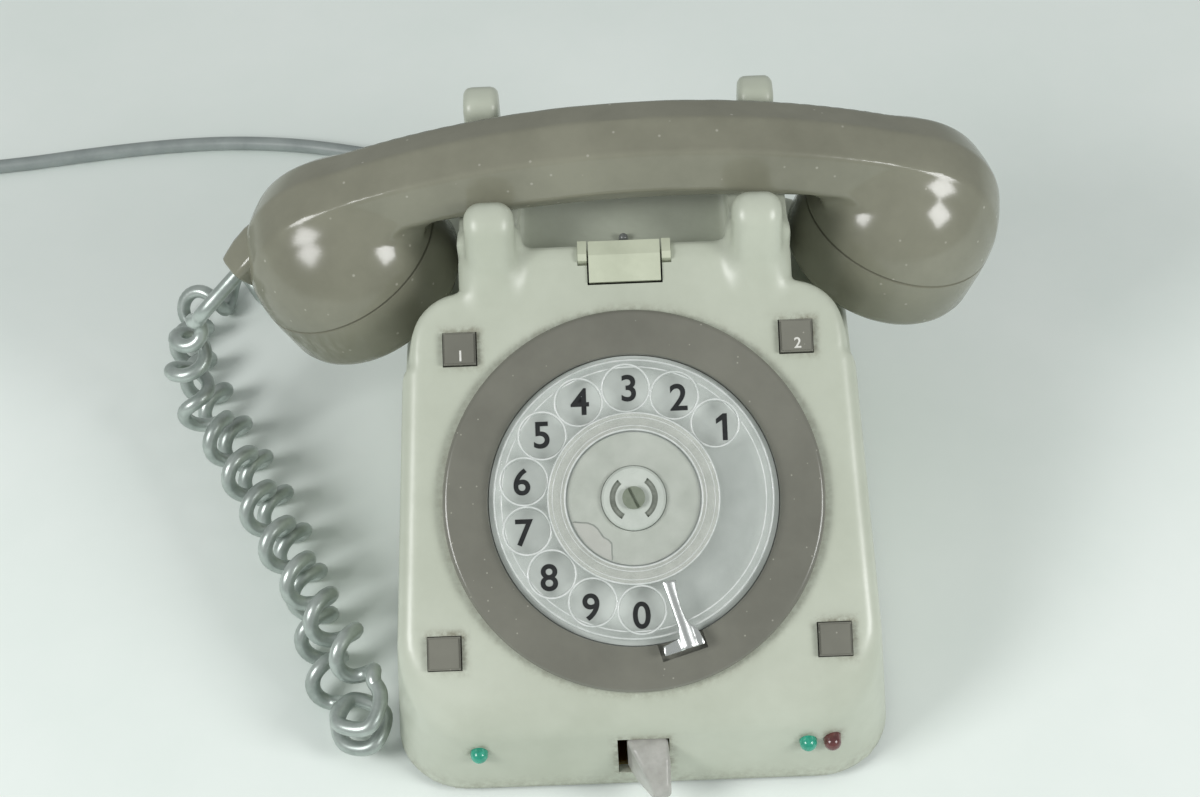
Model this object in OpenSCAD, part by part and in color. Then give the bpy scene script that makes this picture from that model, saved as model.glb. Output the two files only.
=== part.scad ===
// Desk telephone: rotary dial, four push buttons, line lever, recall key, and a handset on a horned cradle.
// Millimetres. The origin is on the table in the middle of the footprint. +Z is up, the front looks along -Y.

/* [Housing] */
// Width at the table
base_w = 145.6; // [142:0.2:150]
// Depth at the table
base_len = 182; // [180:1:190]
// Radius of the upright corners
corner_r = 22; // [18:1:24]
// Lean of the side walls in degrees
draft = 5; // [3.5:0.5:5.5]
// Thickness of the shell
wall = 2.6; // [2.2:0.1:2.8]
// Height of the front panel
front_h = 38; // [36:0.5:42]
// Slant of the face in degrees
face_tilt = 32; // [31:0.5:33]
// Radius along the long edges of the face
edge_r = 4.5; // [3.5:0.5:5.5]

/* [Cradle] */
// Half width of the cradle tower
tower_half = 47.5; // [46.5:0.5:48.5]
// Height of the sunk shoulders beside the tower
shoulder_z = 66; // [60:1:68]
// Depth of the well behind the ridge
well_depth = 8; // [6:0.5:9]
// Height of the horns above the ridge
horn_rise = 16.5; // [14:0.5:18]
// Width of each front horn
front_horn_w = 14.4; // [13:0.2:15]
// Width of each rear horn
rear_horn_w = 10.5; // [9:0.5:11]

/* [Dial] */
// Distance of the dial's centre from the front crease
dial_up = 61; // [60:0.5:62]
// Diameter of the finger wheel
wheel_d = 80; // [78:0.5:81]
// Outer diameter of the bezel
bezel_d = 108.5; // [106:0.5:109]
// Diameter of a finger hole
hole_d = 12.4; // [11.5:0.1:12.8]
// Radius of the circle of finger holes
hole_ring_r = 31.3; // [31:0.1:31.8]

/* [Keys and lamps] */
// Width of a push button
button_w = 9.3; // [8.5:0.1:10]
// Travel of a push button
button_travel = 2.5; // [1.5:0.1:2.8]
// Diameter of a front lamp
lamp_d = 5; // [4:0.5:6]
// Angle by which the lever is thrown from its middle in degrees
lever_throw = 16; // [12:1:16]
// Width of the recall key
key_w = 20.6; // [19:0.2:21]

/* [Handset] */
// Distance between the middles of the two cups
cup_span = 166; // [164:1:168]
// Diameter of the round cups
cup_d = 60.5; // [59:0.5:61.5]
// Tilt of the mouth cap in degrees
mouth_tilt = 24; // [22:1:25]
// Tilt of the ear cap in degrees
ear_tilt = 18; // [16:1:20]
// Radius of the handle's bow
bow_r = 255; // [245:5:265]
// How far the handset lies askew in degrees
handset_yaw = 2.3; // [1:0.1:2.6]

/* [Cords] */
// Diameter of the curly cord
curly_d = 4.6; // [4.2:0.1:4.8]
// Outer diameter of its curls
curl_d = 15.4; // [15:0.1:15.8]
// Number of curls
curls = 25; // [24:1:27]
// Diameter of the line cord
line_d = 5; // [4.6:0.1:5.2]
// Turns in the tied coil of the line cord
coil_turns = 7; // [7:1:7]

/* [Hidden] */
$fn = 64;

// Colours as the object shows them
shell_col = "#bcc2b2";
taupe_col = "#7b746c";
cream_col = "#c4c9b6";
steel_col = "#a9abac";
brass_col = "#b99a56";

// Lines of the housing
front_y = -(base_len - 10) / 2;
rear_y = front_y + base_len;
floor_z = 3;
crease_y = front_y + 2;
crease_r = 8;
lean = atan2(2, front_h);
ridge_s = 71;
function face_point(s, n) = [crease_y + (dial_up + s) * cos(face_tilt) - n * sin(face_tilt),
    front_h + (dial_up + s) * sin(face_tilt) + n * cos(face_tilt)];
dial_y = face_point(0, 0)[0];
dial_z = face_point(0, 0)[1];
ridge_y = face_point(ridge_s, 0)[0];
ridge_z = face_point(ridge_s, 0)[1];
well_z = ridge_z - well_depth;
saddle_z = ridge_z + 3.1;
cradle_y = ridge_y + 27;
shoulder_y = ridge_y - 23;
shoulder_r = 16.5;
front_normal = [-cos(lean), sin(lean)];
face_normal = [-sin(face_tilt), cos(face_tilt)];
crease_c = [crease_y, front_h] - crease_r * (front_normal + face_normal) / (1 + front_normal * face_normal);
function half_w(z) = base_w / 2 - z * tan(draft);
rear_lean = 0.08;
function rear_at(z) = rear_y - rear_lean * z;
function front_at(z) = front_y + z * tan(lean);

// Places on the face, from the dial's centre, and on the front panel
button_top = [48.1, 44.9];
button_low = [55, -41.4];
lamp_x = 47;
lamp_step = 6.9;
lamp_z = 22.7;
slot_w = 14.8;
slot_z = [9.5, 26.5];
lever_y = front_y + 6.5;
button_hole = button_w + 0.6;

// Levels of the dial above the face
plate_n = 0;
wheel_n = 3.2;
wheel_t = 2;
rim_r = [19.1, 24.4];
hub_n = wheel_n + wheel_t;
hole_pitch = 360 / 14;
hole_first = 40.6;
stop_angle = -70.7;

// Recall key: pivot on the ridge
key_y = ridge_y + 1.6;
key_z = ridge_z - 1.6;

// Handset: the handle's flat underside rests on the saddles, and its roof goes on round the ends as a band
handle_drop = 13.2;
handle_rise = 9.5;
under_r = 1070;
saddle_x = 38;
function under_at(x) = handle_drop + under_r - sqrt(under_r * under_r - x * x);
handset_z = saddle_z + 0.3 + under_at(saddle_x);
saddle_top = handset_z - under_at(tower_half + 1) - 0.4;
cup_x = cup_span / 2;
cup_r = cup_d / 2;
cup_z = -38.9;
band_r = 32.5;
band_x = cup_x - 2.4;
band_a = asin(band_x / (bow_r + handle_rise - band_r));
band_z = (bow_r + handle_rise - band_r) * cos(band_a) - bow_r;
seam_d = -2.5;
cap_r = sqrt(cup_r * cup_r - seam_d * seam_d);
neck_r = 26.4;
plunger_r = 2.6;
plunger_x = saddle_x;

// Routes of the cords, from end to end
boot_from = [-cup_x - 25, 0, cup_z + 7];
boot_dir = [-0.72, -0.42, -0.55];
boot_len = 16;
curl_r = (curl_d - curly_d) / 2;
curly_exit = [-44, rear_y + 9, 15];
line_exit = [-14, rear_y + 13, 15];
coil_c = [-284, 141];
coil_r = [17, 37];
coil_z = [3.9, 9.8];
line_path = [line_exit, [-14, 118, 15], [-16, 128, 11], [-22, 140, 5.5], [-34, 154, 3], [-52, 166, 2.7],
    [-72, 174, 2.7], [-96, 178, 2.7], [-126, 178, 2.7], [-156, 178, 2.7], [-186, 178, 2.7], [-216, 178, 2.7],
    [-246, 178, 2.9], [-266, 178, 3.7], [-278, 178, 3.9], [-284, 178, 3.9]];

// Frames of the face, the front panel, the handset and its cups
module on_face() {
    translate([0, dial_y, dial_z]) rotate([face_tilt, 0, 0]) children();
}
module along_x(w, x = 0) {
    translate([x, 0, 0]) rotate([90, 0, 90]) linear_extrude(w) children();
}
module both_sides() {
    children();
    mirror([1, 0, 0]) children();
}
module on_handset() {
    translate([0, cradle_y, handset_z]) rotate([0, 0, handset_yaw]) children();
}
module on_cup(side) {
    tilt = side > 0 ? ear_tilt : -mouth_tilt;
    on_handset() translate([side * cup_x, 0, cup_z]) rotate([0, tilt, 0]) children();
}
module rounded_rect(x0, x1, y0, y1, r) {
    translate([x0 + r, y0]) square([x1 - x0 - 2 * r, y1 - y0]);
    translate([x0, y0 + r]) square([x1 - x0, y1 - y0 - 2 * r]);
    for (x = [x0 + r, x1 - r], y = [y0 + r, y1 - r]) translate([x, y]) circle(r);
}
module ring(r0, r1, z0, z1) {
    translate([0, 0, z0]) difference() {
        cylinder(r = r1, h = z1 - z0);
        translate([0, 0, -1]) cylinder(r = r0, h = z1 - z0 + 2);
    }
}

// Solid of the housing, drawn in by t for the hollow
module side_2d(t) {
    inner_s = (well_z - t + t * cos(face_tilt) - front_h) / sin(face_tilt) - dial_up;
    top = t == 0 ? [[ridge_y + 4.5, well_z], [ridge_y + 3, ridge_z], [ridge_y, ridge_z]]
        : [face_point(inner_s, -t)];
    z0 = t == 0 ? floor_z : 0;
    polygon(concat([[front_at(z0) + t / cos(lean), z0], [rear_at(z0) - t, z0]],
        [[rear_at(well_z - t) - t, well_z - t]], top,
        [crease_c + (crease_r - t) * face_normal, crease_c, crease_c + (crease_r - t) * front_normal]));
    translate(crease_c) circle(crease_r - t);
}
module flank_2d(t) {
    lean_n = asin(sin(draft) * cos(face_tilt));
    edge = half_w(dial_z) * cos(atan(sin(face_tilt) * tan(draft)));
    c = [(edge * cos(lean_n) - edge_r + edge_r * sin(lean_n)) / cos(lean_n), -edge_r];
    polygon([[-150, -160], [(edge * cos(lean_n) - t + 160 * sin(lean_n)) / cos(lean_n), -160],
        c + (edge_r - t) * [cos(lean_n), sin(lean_n)], c, [c[0], -t], [-150, -t]]);
    translate(c) circle(edge_r - t);
}
module flank(t) {
    on_face() rotate([0, 0, atan(sin(face_tilt) * tan(draft))]) rotate([90, 0, 0])
        linear_extrude(400, center = true) flank_2d(t);
}
module shoulder_cut(t) {
    translate([0, 0, shoulder_z - t]) linear_extrude(80) difference() {
        translate([tower_half - t, shoulder_y]) square([60, 140]);
        translate([tower_half, shoulder_y]) circle(shoulder_r - t);
    }
}
module corner_cut(t, back) {
    y = back > 0 ? rear_y - corner_r + 0.2 : front_y + corner_r - 0.2;
    translate([base_w / 2 - corner_r + 0.2, y, 0]) rotate([back > 0 ? atan(rear_lean) : -lean, -draft, 0])
        translate([0, 0, -20]) linear_extrude(170) difference() {
            translate([0, back > 0 ? 0 : -40]) square([40, 40]);
            circle(corner_r - t);
        }
}
module body_solid(t) {
    difference() {
        intersection() {
            along_x(base_w + 10, -base_w / 2 - 5) side_2d(t);
            flank(t);
            mirror([1, 0, 0]) flank(t);
        }
        both_sides() {
            corner_cut(t, -1);
            corner_cut(t, 1);
            shoulder_cut(t);
        }
    }
}

// Horns and saddles of the right side
module front_horn() {
    p = [ridge_y - 9.5, ridge_z - 6.6];
    c = [ridge_y + 3.6, ridge_z + horn_rise - 6];
    d = norm(c - p);
    a = atan2(c[1] - p[1], c[0] - p[0]) + asin(6 / d);
    intersection() {
        along_x(60) union() {
            polygon([[p[0] + 4, well_z - 5], [c[0] + 6, well_z - 5], c + [6, 0], c,
                p + sqrt(d * d - 36) * [cos(a), sin(a)], p]);
            translate(c) circle(6);
        }
        linear_extrude(150) rounded_rect(31, 31 + front_horn_w, ridge_y - 16, ridge_y + 9.6, 5);
    }
}
module rear_horn() {
    intersection() {
        along_x(60) union() {
            translate([cradle_y + 18, well_z - 5]) square([12, ridge_z + horn_rise - 6 - well_z + 5]);
            translate([cradle_y + 24, ridge_z + horn_rise - 6]) circle(6);
        }
        linear_extrude(150) rounded_rect(46 - rear_horn_w, 46, cradle_y + 17, cradle_y + 31, 4);
    }
}
module saddle() {
    translate([30, ridge_y + 4, well_z - 5]) cube([tower_half - 30, 42, saddle_top - well_z + 5]);
}
module screw_places() {
    for (x = [-58, 58], y = [front_y + 46, rear_y - 17]) translate([x, y, 0]) children();
}
module key_recess() {
    back = [[ridge_y + 6, key_z - 3.8], [ridge_y + 6, ridge_z + 5]];
    along_x(key_w + 1, -key_w / 2 - 0.5)
        polygon(concat([face_point(62.1, 4), face_point(62.1, -3.6), [ridge_y - 2, key_z - 3.8]], back));
    along_x(key_w + 6.4, -key_w / 2 - 3.2)
        polygon(concat([face_point(68.7, 4), [ridge_y - 1.3, key_z - 3.8]], back));
}

module housing() {
    color(shell_col) difference() {
        union() {
            difference() {
                body_solid(0);
                body_solid(wall);
            }
            intersection() {
                body_solid(wall / 2);
                screw_places() translate([0, 0, floor_z + 1.6]) cylinder(r = 4, h = 90);
            }
            both_sides() {
                front_horn();
                saddle();
                rear_horn();
            }
        }
        screw_places() cylinder(r = 1.62, h = 18);
        on_face() cylinder(r = bezel_d / 2 - 7.25, h = 20, center = true);
        on_face() both_sides() for (p = [button_top, button_low])
            translate([p[0], p[1], 0]) cube([button_hole, button_hole, 20], center = true);
        for (x = [-lamp_x, lamp_x, lamp_x + lamp_step])
            translate([x, front_y - 5, lamp_z]) rotate([-90, 0, 0]) cylinder(d = lamp_d + 0.1, h = 14);
        translate([-slot_w / 2, front_y - 5, slot_z[0]]) cube([slot_w, 12, slot_z[1] - slot_z[0]]);
        key_recess();
        both_sides() translate([plunger_x, cradle_y, well_z - 12]) cylinder(r = plunger_r + 0.3, h = 40);
        translate([0, ridge_y + 12.5, well_z - 6]) cylinder(r = 1.45, h = 10);
        for (p = [curly_exit, line_exit])
            translate([p[0], rear_y - 12, p[2]]) rotate([-90, 0, 0]) cylinder(r = 4.5, h = 20);
    }
}
module base_plate() {
    in = wall + 0.8;
    x = base_w / 2 - in;
    color(steel_col) difference() {
        translate([0, 0, floor_z]) linear_extrude(1.6)
            rounded_rect(-x, x, front_y + in, rear_y - in, corner_r - in);
        screw_places() cylinder(r = 1.8, h = 9);
    }
}
module rubber_feet() {
    color("#3a3a38") for (x = [-46, 46], y = [front_y + 40, rear_y - 32]) translate([x, y, 0]) {
        cylinder(r1 = 6.6, r2 = 7.4, h = floor_z);
    }
}
module base_screws() {
    color(steel_col) screw_places() difference() {
        union() {
            translate([0, 0, 1]) cylinder(r = 3.6, h = floor_z - 1);
            translate([0, 0, 1]) cylinder(r = 1.6, h = 15);
        }
        translate([-3, -0.5, 0]) cube([6, 1, 1.9]);
    }
}

// Dial
module dial_bezel() {
    r = bezel_d / 2;
    color(taupe_col) on_face() difference() {
        rotate_extrude($fn = 96) {
            polygon([[r, 0.05], [r, 1.65], [r - 1.6, 1.65], [r - 1.6, 3.25], [wheel_d / 2 + 1.4, 2.4],
                [wheel_d / 2 + 1.4, -4.5], [r - 7.55, -4.5], [r - 7.55, 0.05]]);
            translate([r - 1.6, 1.65]) circle(1.6);
        }
        rotate([0, 0, stop_angle]) translate([wheel_d / 2, -6.2, 0.6]) cube([5.4, 12.4, 6]);
    }
}
module number_plate() {
    color("#cdd1c8") on_face() ring(6.5, wheel_d / 2 + 1.2, plate_n - 1, plate_n);
}
module dial_case() {
    r = wheel_d / 2 + 1.2;
    color(steel_col) on_face() difference() {
        rotate_extrude($fn = 96) polygon([[3.05, -28], [31, -28], [33, -26], [33, -7], [r + 4.4, -7],
            [r + 4.4, -4.5], [r, -4.5], [r, -1], [3.05, -1]]);
        for (a = [30, 150, 270]) rotate([0, 0, a]) translate([37, 0, -3]) cylinder(r = 1.5, h = 4);
    }
}
module finger_stop() {
    tip = 25.5;
    root = wheel_d / 2 + 5;
    color("#d9dcde") on_face() rotate([0, 0, stop_angle]) {
        translate([0, 0, wheel_n + wheel_t + 1.2]) linear_extrude(1.2)
            polygon([[tip, -0.9], [tip + 9, -1.7], [root - 5.7, -1.5], [root - 2, -2.2], [root - 1.8, -5.8],
                [root, -5.8], [root, 5.8], [root - 2, 5.8], [root - 5, 4], [tip + 9, 2.8], [tip + 1.4, 3.2]]);
        translate([root - 1.6, -5.8, 0.6]) cube([1.6, 11.6, wheel_n + wheel_t + 0.7]);
    }
}
module finger_places() {
    for (i = [0:9]) rotate([0, 0, hole_first + i * hole_pitch]) translate([hole_ring_r, 0, 0]) children();
}
module finger_wheel() {
    color("#dfe3e1") on_face() difference() {
        union() {
            ring(5, wheel_d / 2, wheel_n, hub_n);
            ring(rim_r[0], rim_r[1], hub_n - 0.5, hub_n + 1.4);
            ring(3.05, 6, plate_n + 0.6, hub_n);
            finger_places() translate([0, 0, hub_n - 0.5]) cylinder(r = hole_d / 2 + 0.9, h = 1.1);
        }
        finger_places() cylinder(d = hole_d, h = 12);
    }
}
module dial_shaft() {
    color(steel_col) on_face() difference() {
        translate([0, 0, -24]) cylinder(r = 3, h = 24 + hub_n);
        translate([0, 0, hub_n - 8]) cylinder(r = 1.42, h = 10);
    }
}
module number_card() {
    color("#d8d6c4") on_face() ring(9.3, rim_r[0] - 0.4, hub_n, hub_n + 0.4);
}
module card_window() {
    color("#e6e9e8") on_face() ring(9.3, rim_r[0] - 0.2, hub_n + 0.4, hub_n + 1.2);
}
module wheel_hub() {
    color("#e2e4de") on_face() difference() {
        translate([0, 0, hub_n]) rotate_extrude()
            polygon([[1.5, 0], [9.1, 0], [9.1, 1.5], [8.4, 2.1], [1.5, 2.1]]);
        for (a = [0, 180]) rotate([0, 0, a]) intersection() {
            ring(4.9, 7.3, hub_n + 1, hub_n + 4);
            translate([1.5, -4.6, 0]) cube([12, 9.2, 20]);
        }
    }
}
module wheel_screw() {
    color(steel_col) on_face() difference() {
        union() {
            translate([0, 0, hub_n + 2.1]) cylinder(r = 3.2, h = 1.4);
            translate([0, 0, hub_n - 6]) cylinder(r = 1.4, h = 9);
        }
        rotate([0, 0, 115]) translate([-4, -0.45, hub_n + 2.7]) cube([8, 0.9, 3]);
    }
}

// Push buttons in the face, each in an open switch box behind the panel
module button(x, y) {
    w = button_w;
    f = w + 2.4;
    color(taupe_col) on_face() translate([x, y, 0]) {
        translate([-w / 2, -w / 2, -3.4]) cube([w, w, 5]);
        translate([-w / 2 + 0.5, -w / 2 + 0.5, 1.2]) cube([w - 1, w - 1, 1]);
        translate([-f / 2, -f / 2, -wall - 1.5]) cube([f, f, 1.2]);
    }
}
module button_top_left() {
    button(-button_top[0], button_top[1]);
}
module button_top_right() {
    button(button_top[0], button_top[1]);
}
module button_low_left() {
    button(-button_low[0], button_low[1]);
}
module button_low_right() {
    button(button_low[0], button_low[1]);
}
module button_switches() {
    w = button_w + 3.2;
    depth = button_travel + 2;
    skin = 0.8;
    color("#4b4d4c") on_face() both_sides() for (p = [button_top, button_low])
        translate([p[0], p[1], -wall - 0.05]) difference() {
            translate([-w / 2 - skin, -w / 2 - skin, -depth - 1])
                cube([w + 2 * skin, w + 2 * skin, depth + 1]);
            translate([-w / 2, -w / 2, -depth]) cube([w, w, depth + 1]);
        }
}

// Lamps
module lamp(x) {
    y = front_at(lamp_z);
    translate([x, 0, lamp_z]) rotate([90, 0, 0]) {
        translate([0, 0, -y - wall - 4]) cylinder(d = lamp_d + 0.9, h = 3.8);
        translate([0, 0, -y - wall - 1]) cylinder(d = lamp_d, h = wall + 1.8);
        intersection() {
            translate([0, 0, -y + 0.8]) sphere(d = lamp_d);
            translate([-5, -5, -y + 0.8]) cube([10, 10, 10]);
        }
    }
}
module green_lamps() {
    color("#2f9c80") {
        lamp(-lamp_x);
        lamp(lamp_x);
    }
}
module red_lamp() {
    color("#6d4242") lamp(lamp_x + lamp_step);
}
module call_lamp() {
    color("#5a5d5c") translate([0, ridge_y + 12.5, well_z]) {
        translate([0, 0, -4]) cylinder(r = 1.4, h = 5);
        translate([0, 0, 1]) sphere(r = 1.4);
        translate([0, 0, -wall - 2.4]) cylinder(r = 2.2, h = 2.4);
    }
}

// Lever in the front slot and its frame inside
module lever() {
    color("#cfcdc6") translate([0, lever_y, 0]) rotate([0, 0, lever_throw]) difference() {
        union() {
            translate([0, 0, slot_z[0] + 1]) cylinder(r = 3.4, h = slot_z[1] - slot_z[0] - 2);
            intersection() {
                translate([0, 0, slot_z[0]]) linear_extrude(30)
                    polygon([[-3.4, 0], [3.4, 0], [5.8, -3], [5.5, -6.4], [4.4, -12], [2.6, -18], [1.6, -19],
                        [-1.4, -19], [-2.6, -18], [-4.8, -9.5], [-5.5, -6.4], [-5.8, -3]]);
                along_x(20, -10) polygon([[0, slot_z[0] + 1], [0, slot_z[1] - 1], [-7, slot_z[1] - 1],
                    [-12, slot_z[1] - 3], [-18, slot_z[1] - 7.5], [-19, slot_z[1] - 9], [-19, slot_z[0] + 5],
                    [-17, slot_z[0] + 3.5], [-10, slot_z[0] + 1.4]]);
            }
        }
        cylinder(r = 1.55, h = 40);
    }
}
module lever_frame() {
    y0 = front_at(slot_z[1]) + wall + 0.4;
    color(brass_col) {
        for (z = [slot_z[0] - 2.4, slot_z[1] + 0.4]) translate([-10, y0, z]) cube([20, 20, 2]);
        translate([-10, y0 + 18, slot_z[0] - 2.4]) cube([20, 2, slot_z[1] - slot_z[0] + 4.8]);
        translate([0, lever_y, slot_z[0] - 2.4]) cylinder(r = 1.5, h = slot_z[1] - slot_z[0] + 4.8);
        translate([-10, y0 + 12, floor_z + 1.6]) cube([20, 8, slot_z[0] - 4]);
    }
}

// Recall key over the ridge
module recall_key() {
    color(cream_col) along_x(key_w, -key_w / 2) difference() {
        union() {
            polygon([face_point(62.7, -1), face_point(70, -1), [ridge_y + 4, ridge_z - 0.7],
                [ridge_y + 4, ridge_z + 1.2], face_point(70.6, 1), face_point(62.7, 0.9)]);
            translate([key_y, key_z]) circle(2.1);
        }
        translate([key_y, key_z]) circle(1.05);
    }
}
module key_bracket() {
    x0 = key_w / 2 + 0.5;
    color(cream_col) {
        both_sides() along_x(2.6, x0) polygon([face_point(69, 1.1), face_point(71, 1.2),
            [ridge_y + 4.4, ridge_z + 1], [ridge_y + 4.4, key_z - 3.8], [ridge_y - 1, key_z - 3.8],
            face_point(68.4, -1)]);
        along_x(2 * x0 + 2, -x0 - 1) translate([key_y, key_z]) circle(1);
    }
}

// Hook switch under the saddles
module hook_frame() {
    color(steel_col) {
        translate([-tower_half + wall, cradle_y - 8, well_z - 20]) cube([2 * (tower_half - wall), 16, 3]);
        translate([-14, cradle_y - 7, well_z - 34]) cube([28, 14, 14]);
    }
}
module hook_plungers() {
    color("#5b5d5a") both_sides() translate([plunger_x, cradle_y, well_z - 16.7]) {
        cylinder(r = plunger_r, h = saddle_z - well_z + 16.5);
        cylinder(r = 4, h = 2);
    }
}

// Electrics on the base plate
module circuit_board() {
    color("#9a8a55") {
        translate([-52, front_y + 34, 12]) cube([104, 60, 1.6]);
        for (x = [-48, 48], y = [front_y + 52, front_y + 90])
            translate([x, y, floor_z + 1.6]) cylinder(r = 2.5, h = 8);
    }
}
module induction_coil() {
    color("#6a5a4a") translate([-40, front_y + 58, 13.6]) {
        cube([26, 22, 4]);
        translate([0, 5, 0]) cube([26, 12, 16]);
    }
}
module capacitor() {
    color(steel_col) translate([14, front_y + 82, 13.6 + 5]) {
        rotate([0, 90, 0]) cylinder(r = 5, h = 30);
        translate([4, -4, -5]) cube([22, 8, 3]);
    }
}
module terminal_block() {
    color("#454745") translate([6, front_y + 62, 13.6]) difference() {
        cube([40, 10, 9]);
        for (i = [0:5]) translate([5 + i * 6, 5, 4]) cylinder(r = 1.6, h = 9);
    }
}
module ringer_coil() {
    color("#7a4a3a") translate([0, 24, floor_z + 1.6]) {
        for (x = [-11, 11]) translate([x, -9, 10]) rotate([-90, 0, 0]) cylinder(r = 8, h = 20);
        translate([-20, -11, 0]) cube([40, 3, 20]);
        translate([-20, 9, 0]) cube([40, 3, 20]);
        translate([-2.5, 11, 0]) cube([5, 6, 3]);
        translate([0, 15, 0]) cylinder(r = 1.2, h = 24);
    }
}
module gong_places() {
    for (x = [-27, 27]) translate([x, 60, 0]) children();
}
module gong_posts() {
    color(steel_col) gong_places() {
        translate([0, 0, floor_z + 1.6]) cylinder(r = 3, h = 20);
        translate([0, 0, floor_z + 1.6]) cylinder(r = 1.5, h = 28);
        translate([0, 0, floor_z + 1.6 + 22.2]) cylinder(r = 4, h = 2.4);
    }
}
module gong(x) {
    color(brass_col) translate([x, 60, floor_z + 1.6 + 20]) rotate_extrude() {
        polygon([[1.52, 2.2], [6, 2.2], [13, 0.6], [18.6, -3], [21.4, -9], [22, -14], [20.8, -14], [20, -9.4],
            [17.6, -4.4], [12.4, -1.2], [6, 0.2], [1.52, 0.2]]);
    }
}
module gong_left() {
    gong(-27);
}
module gong_right() {
    gong(27);
}
module clapper() {
    z = floor_z + 1.6 + 8;
    color(steel_col) translate([0, 39, z]) difference() {
        union() {
            cylinder(r = 2.6, h = 6);
            translate([-0.8, 0, 1]) cube([1.6, 21, 3]);
            translate([0, 21, 2.5]) sphere(r = 2.5);
        }
        translate([0, 0, -5]) cylinder(r = 1.25, h = 20);
    }
}

// Handset
// Section of the handle: a roof of four slopes on sides that draw in below
module roof_2d(r, low, low_w, trim) {
    polygon([[low, -low_w], [r - 5.7, -14.2 + trim], [r + 6.3 - trim, -10.7 + trim],
        [r + handle_rise - trim, 0], [r + 6.3 - trim, 10.7 - trim], [r - 5.7, 14.2 - trim], [low, low_w]]);
}
module handle() {
    difference() {
        translate([0, 0, -bow_r]) rotate([90, 0, 0]) rotate([0, 0, 90 - band_a])
            rotate_extrude(angle = 2 * band_a, $fn = 180) roof_2d(bow_r, bow_r - 16, 8.5, 0);
        translate([0, 0, -handle_drop - under_r]) rotate([90, 0, 0])
            cylinder(r = under_r, h = 60, center = true, $fn = 360);
    }
}
module handset_shell() {
    color(taupe_col) difference() {
        union() {
            on_handset() handle();
            for (s = [-1, 1]) {
                on_handset() translate([s * band_x, 0, band_z]) rotate([90, 0, 0])
                    rotate_extrude() roof_2d(band_r - handle_rise, 0, 14.05, 0.15);
                on_handset() translate([s * cup_x, 0, cup_z]) rotate([90, 0, 0]) sphere(r = cup_r);
            }
        }
        for (s = [-1, 1]) on_cup(s) difference() {
            translate([-36, -60, -seam_d - 90]) cube([72, 120, 90]);
            translate([0, 0, -seam_d - 6]) cylinder(r = neck_r, h = 10);
        }
        for (s = [-1, 1]) on_cup(s) translate([0, 0, -seam_d - 20]) cylinder(r = neck_r - 2.4, h = 27);
        on_boot() translate([0, 0, -3]) cylinder(r = 4.45, h = 30);
    }
}
module on_boot() {
    a = acos(boot_dir[2] / norm(boot_dir));
    b = atan2(boot_dir[1], boot_dir[0]);
    on_handset() translate(boot_from) rotate([0, 0, b]) rotate([0, a, 0]) children();
}
module cap(side, hole_rows) {
    on_cup(side) difference() {
        translate([0, 0, -seam_d]) rotate_extrude() polygon([[neck_r + 0.2, 0], [cap_r, 0], [cap_r + 0.2, -5],
            [cap_r, -16], [cap_r - 1.2, -19], [cap_r - 4, -21], [cap_r - 8, -21], [0, -19.6], [0, -17.8],
            [neck_r + 0.2, -17.8]]);
        for (k = [0:hole_rows], i = [0:max(6 * k - 1, 0)])
            rotate([0, 0, i * 60 / max(k, 1)]) translate([5.4 * k, 0, -45]) cylinder(r = 1.2, h = 35);
    }
}
module ear_cap() {
    color(taupe_col) cap(1, 1);
}
module mouth_cap() {
    color(taupe_col) cap(-1, 2);
}
module capsule(side) {
    on_cup(side) translate([0, 0, -seam_d - 17.8]) {
        cylinder(r = 21.4, h = 4);
        cylinder(r = 17, h = 9);
    }
}
module receiver() {
    color(steel_col) capsule(1);
}
module transmitter() {
    color(steel_col) capsule(-1);
}
module handset_boot() {
    color(taupe_col) on_boot() difference() {
        rotate_extrude() polygon([[0, -3], [4.4, -3], [4.4, 6], [3.2, boot_len], [0, boot_len]]);
        for (z = [8, 10.5, 13]) ring(3.1, 6, z, z + 1.2);
    }
}

// Sweeps: centre lines as functions, and one tube from its rings
function unit(v) = v / norm(v);
function spline(p, u) = let (n = len(p) - 1, i = min(floor(u), n - 1), t = u - i,
    a = p[max(i - 1, 0)], b = p[i], c = p[i + 1], d = p[min(i + 2, n)])
    0.5 * (2 * b + (c - a) * t + (2 * a - 5 * b + 4 * c - d) * t * t + (3 * b - a - 3 * c + d) * t * t * t);
function tangents(p) = [for (i = [0:len(p) - 1]) unit(p[min(i + 1, len(p) - 1)] - p[max(i - 1, 0)])];
function square_to(v, t) = unit(v - (v * t) * t);
module tube(path, tangent, side, r, n) {
    m = len(path);
    pts = [for (i = [0:m - 1]) let (a = square_to(side[i], tangent[i]), b = cross(tangent[i], a))
        for (k = [0:n - 1]) path[i] + r * (cos(360 * k / n) * a + sin(360 * k / n) * b)];
    polyhedron(points = pts, faces = concat(
        [[for (k = [0:n - 1]) k]], [[for (k = [n - 1:-1:0]) (m - 1) * n + k]],
        [for (i = [0:m - 2], k = [0:n - 1]) [i * n + k, (i + 1) * n + k, (i + 1) * n + (k + 1) % n]],
        [for (i = [0:m - 2], k = [0:n - 1]) [i * n + k, (i + 1) * n + (k + 1) % n, i * n + (k + 1) % n]]));
}

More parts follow.
